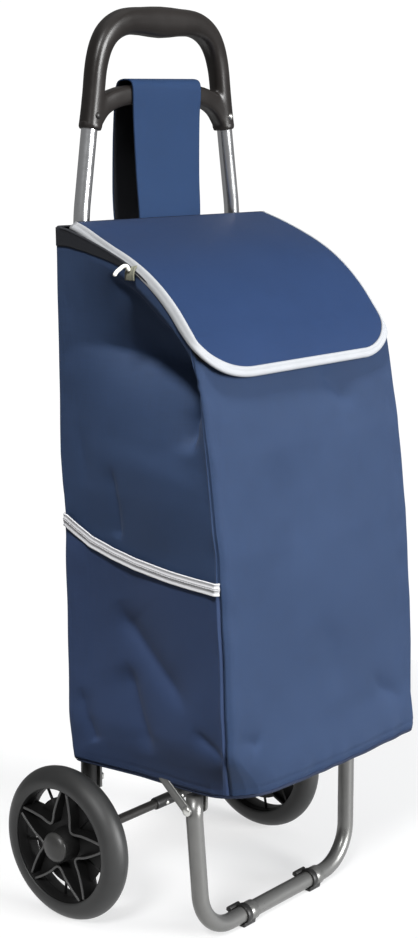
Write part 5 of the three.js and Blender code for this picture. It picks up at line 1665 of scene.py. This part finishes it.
nt_ = 130
RL = 45.0
ls = np.concatenate([np.linspace(0, FLAP_LEN - RL, 66)[:-1], FLAP_LEN - RL + RL * np.sin(np.linspace(0, math.pi / 2, 45))])
ts = np.sin(np.linspace(-math.pi / 2, math.pi / 2, nt_) * 0.96) / math.sin(math.pi / 2 * 0.96)
Lg, Tg = np.meshgrid(ls, ts, indexing="ij")
Xg = np.where(Tg < 0, Tg * flap_half(Lg, True), Tg * flap_half(Lg, False))
fp, fn = flap_xyz(Xg.reshape(-1), Lg.reshape(-1))
flap = make("flap_cover", fp, grid(nt_, len(ls)), [M_FLAP, M_LINING], uv=np.stack([Xg.reshape(-1), Lg.reshape(-1)], 1) * MM)
if sum(p.normal.z for p in flap.data.polygons) < 0:
    flap.data.flip_normals()
so = flap.modifiers.new("thickness", "SOLIDIFY"); so.thickness = 1.6 * MM; so.offset = -1.0; so.material_offset = 1; so.material_offset_rim = 0
apply_all(flap)
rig.ride(flap, "flap"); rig.replaces(flap, "flap"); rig.slot(flap, "bag_fabric")

# binding: a folded tape that wraps the flap's side and front edges
edge = []
for left, sg in ((True, -1.0), (False, 1.0)):
    rx, rl = corner(left)
    run = [(sg * (float(flat_x0(l, left)) + EDGE), l) for l in np.linspace(0, FLAP_LEN - rl, 60)]
    w_end = float(flat_x0(FLAP_LEN, left)) + EDGE
    run += [(sg * (w_end - rx + rx * math.cos(a)), FLAP_LEN - rl + rl * math.sin(a)) for a in np.linspace(0, math.pi / 2, 40)[1:]]
    run += [(x, FLAP_LEN) for x in np.linspace(sg * (w_end - rx), 0, 36)[1:]]
    edge += run if left else run[::-1][1:]
edge = np.array(edge)
et = np.gradient(edge, axis=0); et /= np.linalg.norm(et, axis=1)[:, None]
ein = np.stack([et[:, 1], -et[:, 0]], 1)
cen = np.array([0, FLAP_LEN * 0.5])
ein *= np.sign(np.sum(ein * (cen - edge), 1))[:, None]
BW = 8.8


def binding_piece():
    # across the tape: under side, round the edge, and the outer face
    prof = [(BW * 0.92, -2.6), (BW * 0.5, -2.7), (1.0, -2.6), (-0.5, -1.9), (-1.0, -0.8), (-0.7, 0.6), (0.3, 1.4), (1.6, 1.65), (BW * 0.28, 1.65), (BW * 0.42, 1.35), (BW * 0.5, 1.2), (BW * 0.58, 1.35),
            (BW * 0.75, 1.6), (BW * 0.9, 1.45), (BW, 0.5), (BW, 0.02), (BW * 0.6, 0.02), (1.2, 0.02), (0.2, -0.8), (1.2, -1.65), (BW * 0.5, -1.66), (BW * 0.92, -1.66)]
    m = len(prof)
    s = np.concatenate([[0], np.cumsum(np.linalg.norm(np.diff(edge, axis=0), axis=1))])
    verts, uv = [], []
    lens = np.concatenate([[0], np.cumsum(np.hypot(*np.diff(np.array(prof), axis=0).T))])
    for k, (d, h) in enumerate(prof):
        q = edge + ein * d
        p, n = flap_xyz(q[:, 0], np.clip(q[:, 1], 0, FLAP_LEN + 3))
        n = n / np.linalg.norm(n, axis=1)[:, None]
        over = np.clip(q[:, 1] - FLAP_LEN, 0, None)
        verts.append(p + n * h + over[:, None] * np.array([0, FL_T[-1][0], FL_T[-1][1]]))
        uv.append(np.stack([s * MM, np.full(len(s), min(max(d / BW, 0), 1))], 1))
    V_ = np.stack(verts, 1)           # (len, m, 3)
    U_ = np.stack(uv, 1)
    faces = grid(m, len(edge), True)
    faces.append(tuple(range(m))); faces.append(tuple((len(edge) - 1) * m + k for k in range(m)))
    return outward(make("flap_binding_band", V_.reshape(-1, 3), faces, M_BINDING, uv=U_.reshape(-1, 2)))


binding = binding_piece()
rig.ride(binding, "flap"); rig.slot(binding, "bag_fabric")


# ---------------------------------------------------------------------- strap
def strap_piece():
    """Doubled band that loops over the brace: blue outside, black inside."""
    yf, yb = HANDLE_Y - BRACE_T / 2 - 1.6, HANDLE_Y + BRACE_T / 2 + 1.6
    key = [(-3.6, 699, 46.0), (-3.4, 715, 46.4), (-1.6, 745, 47.4), (yf + 0.6, 800, 49.6), (yf, 822, 50.8), (yf + 0.3, 831.6, 51.0), (yf + 2.6, 836.4, 51.0), (HANDLE_Y - 3, 838.2, 51.0), (HANDLE_Y + 3, 838.2, 51.4),
           (yb - 2.6, 836.4, 52.0), (yb - 0.3, 831.6, 52.6), (yb + 1, 820, 53.0), (yb + 3.6, 780, 53.0), (yb + 4.4, 730, 53.0), (yb + 3.0, 700, 52.0), (yb - 2.8, 668, 49.0), (9.4, 625, 49.0), (4.0, 597, 49.0), (2.6, 592, 49.0)]
    c = resample([(a, b, 0) for a, b, _ in key], 3.0)[:, :2]
    kl = np.concatenate([[0], np.cumsum([math.hypot(key[i + 1][0] - key[i][0], key[i + 1][1] - key[i][1]) for i in range(len(key) - 1)])])
    cl = np.concatenate([[0], np.cumsum(np.linalg.norm(np.diff(c, axis=0), axis=1))])
    cl = cl / cl[-1] * kl[-1]
    wd = np.interp(cl, kl, [k[2] for k in key])
    t = np.gradient(c, axis=0); t /= np.linalg.norm(t, axis=1)[:, None]
    n = np.stack([-t[:, 1], t[:, 0]], 1)          # outward: away from the brace
    cen = np.array([HANDLE_Y, 800.0])
    j = len(c) // 4
    if (n[j] @ (c[j] - cen)) < 0:
        n = -n
    nx_ = 60
    us = np.linspace(-1, 1, nx_)
    verts, uv = [], []
    for i in range(len(c)):
        for u in us:
            # a shallow bow across its width, tight at the brace
            slack = 1 - smoothstep(0, 34, abs(836 - c[i][1]))
            bow = (1.1 * (1 - u * u) * (1 - slack) + 0.35 * math.sin(3.1 * u + c[i][1] / 37.0) * (1 - slack))
            if c[i][0] > 15:
                bow += 1.2 * (1 - slack) * math.sin((c[i][1] - 600) / 240 * math.pi)
            tip = 0.018 * (u * wd[i] + 100) * float(smoothstep(770, 836, c[i][1]))
            verts.append((u * wd[i], c[i][0] + n[i][0] * bow, c[i][1] + n[i][1] * bow + tip))
            uv.append((u * wd[i] * MM, cl[i] * MM))
    ob = make("hanging_strap_band", verts, grid(nx_, len(c)), [M_STRAP, M_LINING], uv=np.array(uv))
    mid_face = ob.data.polygons[(len(c) // 5) * (nx_ - 1) + nx_ // 2]
    if mid_face.normal.y > 0:
        ob.data.flip_normals()
    so = ob.modifiers.new("thickness", "SOLIDIFY"); so.thickness = 1.5 * MM; so.offset = 0.0; so.material_offset = 1; so.material_offset_rim = 0
    apply_all(ob)
    return ob


strap = strap_piece()
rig.ride(strap, "frame"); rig.replaces(strap, "hanging_strap"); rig.slot(strap, "bag_fabric")


# ------------------------------------------------------------- hook and its tab
hx = -BAG_HALF - 0.3
hy, hz = -84.0, 661.0
wx = float(np.min(wall_x(np.array([hy]), np.array([hz]))))
tabc = resample([(-BAG_HALF + 1.5, hy - 6, 668), (-BAG_HALF - 2.5, hy - 6, 665), (-BAG_HALF - 4.5, hy - 6, 660), (-BAG_HALF - 4.2, hy - 6, 654.5)], 1.0)
tt = np.gradient(tabc, axis=0); tt /= np.linalg.norm(tt, axis=1)[:, None]
aa = np.tile([0, 1.0, 0], (len(tabc), 1)); nn_ = np.cross(tt, aa); nn_ *= np.sign(-nn_[:, 0])[:, None]
tab = ribbon("hook_tab_webbing", tabc, aa, nn_, 11.0, 1.4, M_TAB, crown=0.15)
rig.ride(tab, "frame"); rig.replaces(tab, "hook_tab"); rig.slot(tab, "tab_webbing")
hk = resample([(-BAG_HALF - 5.4, hy - 6, 663.0), (-BAG_HALF - 6.4, hy - 4.4, 667.2), (-BAG_HALF - 9.0, hy - 2.4, 667.6), (-BAG_HALF - 12, hy - 0.6, 665.2), (-BAG_HALF - 14.8, hy + 1, 662.6), (-BAG_HALF - 16.4, hy + 1.6, 660.2), (-BAG_HALF - 16.6, hy + 1.6, 658.6)], 0.8)
rr = np.full(len(hk), 1.8); rr[:3] = [1.0, 1.5, 1.75]; rr[-3:] = [1.75, 1.5, 0.9]
hook = sweep("side_hook_bent", hk, rr, M_HOOK, 20)
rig.ride(hook, "frame"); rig.replaces(hook, "side_hook"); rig.slot(hook, "hook_white")


# ----------------------------------------------------------------- stage, light
m_floor, _, bf = material("studio_floor", (0.36, 0.36, 0.36), 0.75)
bf.inputs["Specular IOR Level"].default_value = 0.1
bf.inputs["Emission Color"].default_value = (1.0, 1.0, 1.0, 1.0)  # a white sweep lit from below
bf.inputs["Emission Strength"].default_value = 0.62
me = bpy.data.meshes.new("floor")
me.from_pydata([(0.85 * math.cos(t), 0.85 * math.sin(t), -0.0004) for t in np.linspace(0, 2 * math.pi, 128, endpoint=False)], [], [tuple(range(128))])
me.materials.append(m_floor)
floor = link(bpy.data.objects.new("floor", me))
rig.stage(floor)
floor.visible_diffuse = False    # it throws no light up into the hollows of the cloth

# a white sweep behind the object, and a dim grey studio round it
world = bpy.data.worlds.new("studio")
bpy.context.scene.world = world
world.use_nodes = True
wt = world.node_tree
bg = wt.nodes["Background"]
bg.inputs["Color"].default_value = (1.0, 1.0, 1.0, 1)
bg.inputs["Strength"].default_value = 0.22
back = wt.nodes.new("ShaderNodeBackground")
back.inputs["Color"].default_value = (1.0, 1.0, 1.0, 1)
back.inputs["Strength"].default_value = 1.05
lp = wt.nodes.new("ShaderNodeLightPath")
mx = wt.nodes.new("ShaderNodeMixShader")
wt.links.new(lp.outputs["Is Camera Ray"], mx.inputs[0])
wt.links.new(bg.outputs[0], mx.inputs[1])
wt.links.new(back.outputs[0], mx.inputs[2])
wt.links.new(mx.outputs[0], wt.nodes["World Output"].inputs["Surface"])


def area(name, loc, target, size, power, size_y=None, colour=(1, 1, 1)):
    d = bpy.data.lights.new(name, "AREA")
    d.energy = power
    d.color = colour
    d.shape = "RECTANGLE"
    d.size = size
    d.size_y = size_y or size
    o = link(bpy.data.objects.new(name, d))
    o.location = loc
    v = Vector(target) - Vector(loc)
    o.rotation_euler = v.to_track_quat("-Z", "Y").to_euler()
    return o


# the key is a large soft source far away, so the floor is evenly lit
sun = bpy.data.lights.new("key_soft", "SUN")
sun.energy = 5.6
sun.angle = math.radians(26)
key = link(bpy.data.objects.new("key_soft", sun))
az, el = math.radians(10), math.radians(13)
key.rotation_euler = Vector((-math.sin(az) * math.cos(el), math.cos(az) * math.cos(el), -math.sin(el))).to_track_quat("-Z", "Y").to_euler()
over = bpy.data.lights.new("overhead_soft", "SUN")
over.energy = 0.45
over.angle = math.radians(70)
link(bpy.data.objects.new("overhead_soft", over))
cool = area("cool_fill", (1.9, -1.3, 0.5), (0.15, -0.15, 0.35), 0.9, 9, 1.2, (0.35, 0.62, 1.0))
cool.visible_glossy = False  # it tints the cloth and leaves no blue line on the chrome
area("top_softbox", (-0.7, -1.1, 1.9), (0, 0, 0.2), 0.6, 3)
side = bpy.data.lights.new("side_soft", "SUN")
side.energy = 2.05
side.angle = math.radians(14)
side_ob = link(bpy.data.objects.new("side_soft", side))
az, el = math.radians(-66), math.radians(41)
side_ob.rotation_euler = Vector((-math.sin(az) * math.cos(el), math.cos(az) * math.cos(el), -math.sin(el))).to_track_quat("-Z", "Y").to_euler()


# the bag's walls are lit from higher up than the rest, which brings out their folds
high = bpy.data.lights.new("side_high", "SUN")
high.energy = 6.2
high.angle = math.radians(10)
high_ob = link(bpy.data.objects.new("side_high", high))
az, el = math.radians(-74), math.radians(66)
high_ob.rotation_euler = Vector((-math.sin(az) * math.cos(el), math.cos(az) * math.cos(el), -math.sin(el))).to_track_quat("-Z", "Y").to_euler()


def lit_group(name, pieces, state):
    c = bpy.data.collections.new(name)
    for p in pieces:
        c.objects.link(p)
    for item in c.collection_objects:
        item.light_linking.link_state = state
    return c


WALLS = [shell, pocket, tape, facing_and_shade, mh, piping, hook, tab]
high_ob.light_linking.receiver_collection = lit_group("walls_only", WALLS, "INCLUDE")
side_ob.light_linking.receiver_collection = lit_group("all_but_walls", WALLS + [flap], "EXCLUDE")

# ------------------------------------------------------------ cloth, as cut
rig.sheet(flap, flat=(0.304, round(FLAP_LEN * MM, 3)), held="laid", rests_on=["bag_front", "bag_side_left", "bag_side_right"], with_pieces=[binding])
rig.sheet(strap, flat=(0.104, 0.39), held="hung", rests_on=["handle"])
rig.sheet(pocket, flat=(0.205, 0.235), held="stretched", rests_on=["bag_side_left"], with_pieces=[tape])
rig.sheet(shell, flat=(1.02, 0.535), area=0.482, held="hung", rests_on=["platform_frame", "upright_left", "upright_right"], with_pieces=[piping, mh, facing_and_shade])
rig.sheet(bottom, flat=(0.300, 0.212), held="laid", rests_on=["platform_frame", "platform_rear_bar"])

bpy.context.scene.view_settings.view_transform = "Standard"
bpy.context.scene.view_settings.look = "None"

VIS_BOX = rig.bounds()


def plain(b):
    return [[round(float(c), 5) for c in corner] for corner in b]


try:
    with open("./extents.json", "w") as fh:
        json.dump({"cad": plain(CAD_BOX), "visual": plain(VIS_BOX)}, fh)
except OSError as err:
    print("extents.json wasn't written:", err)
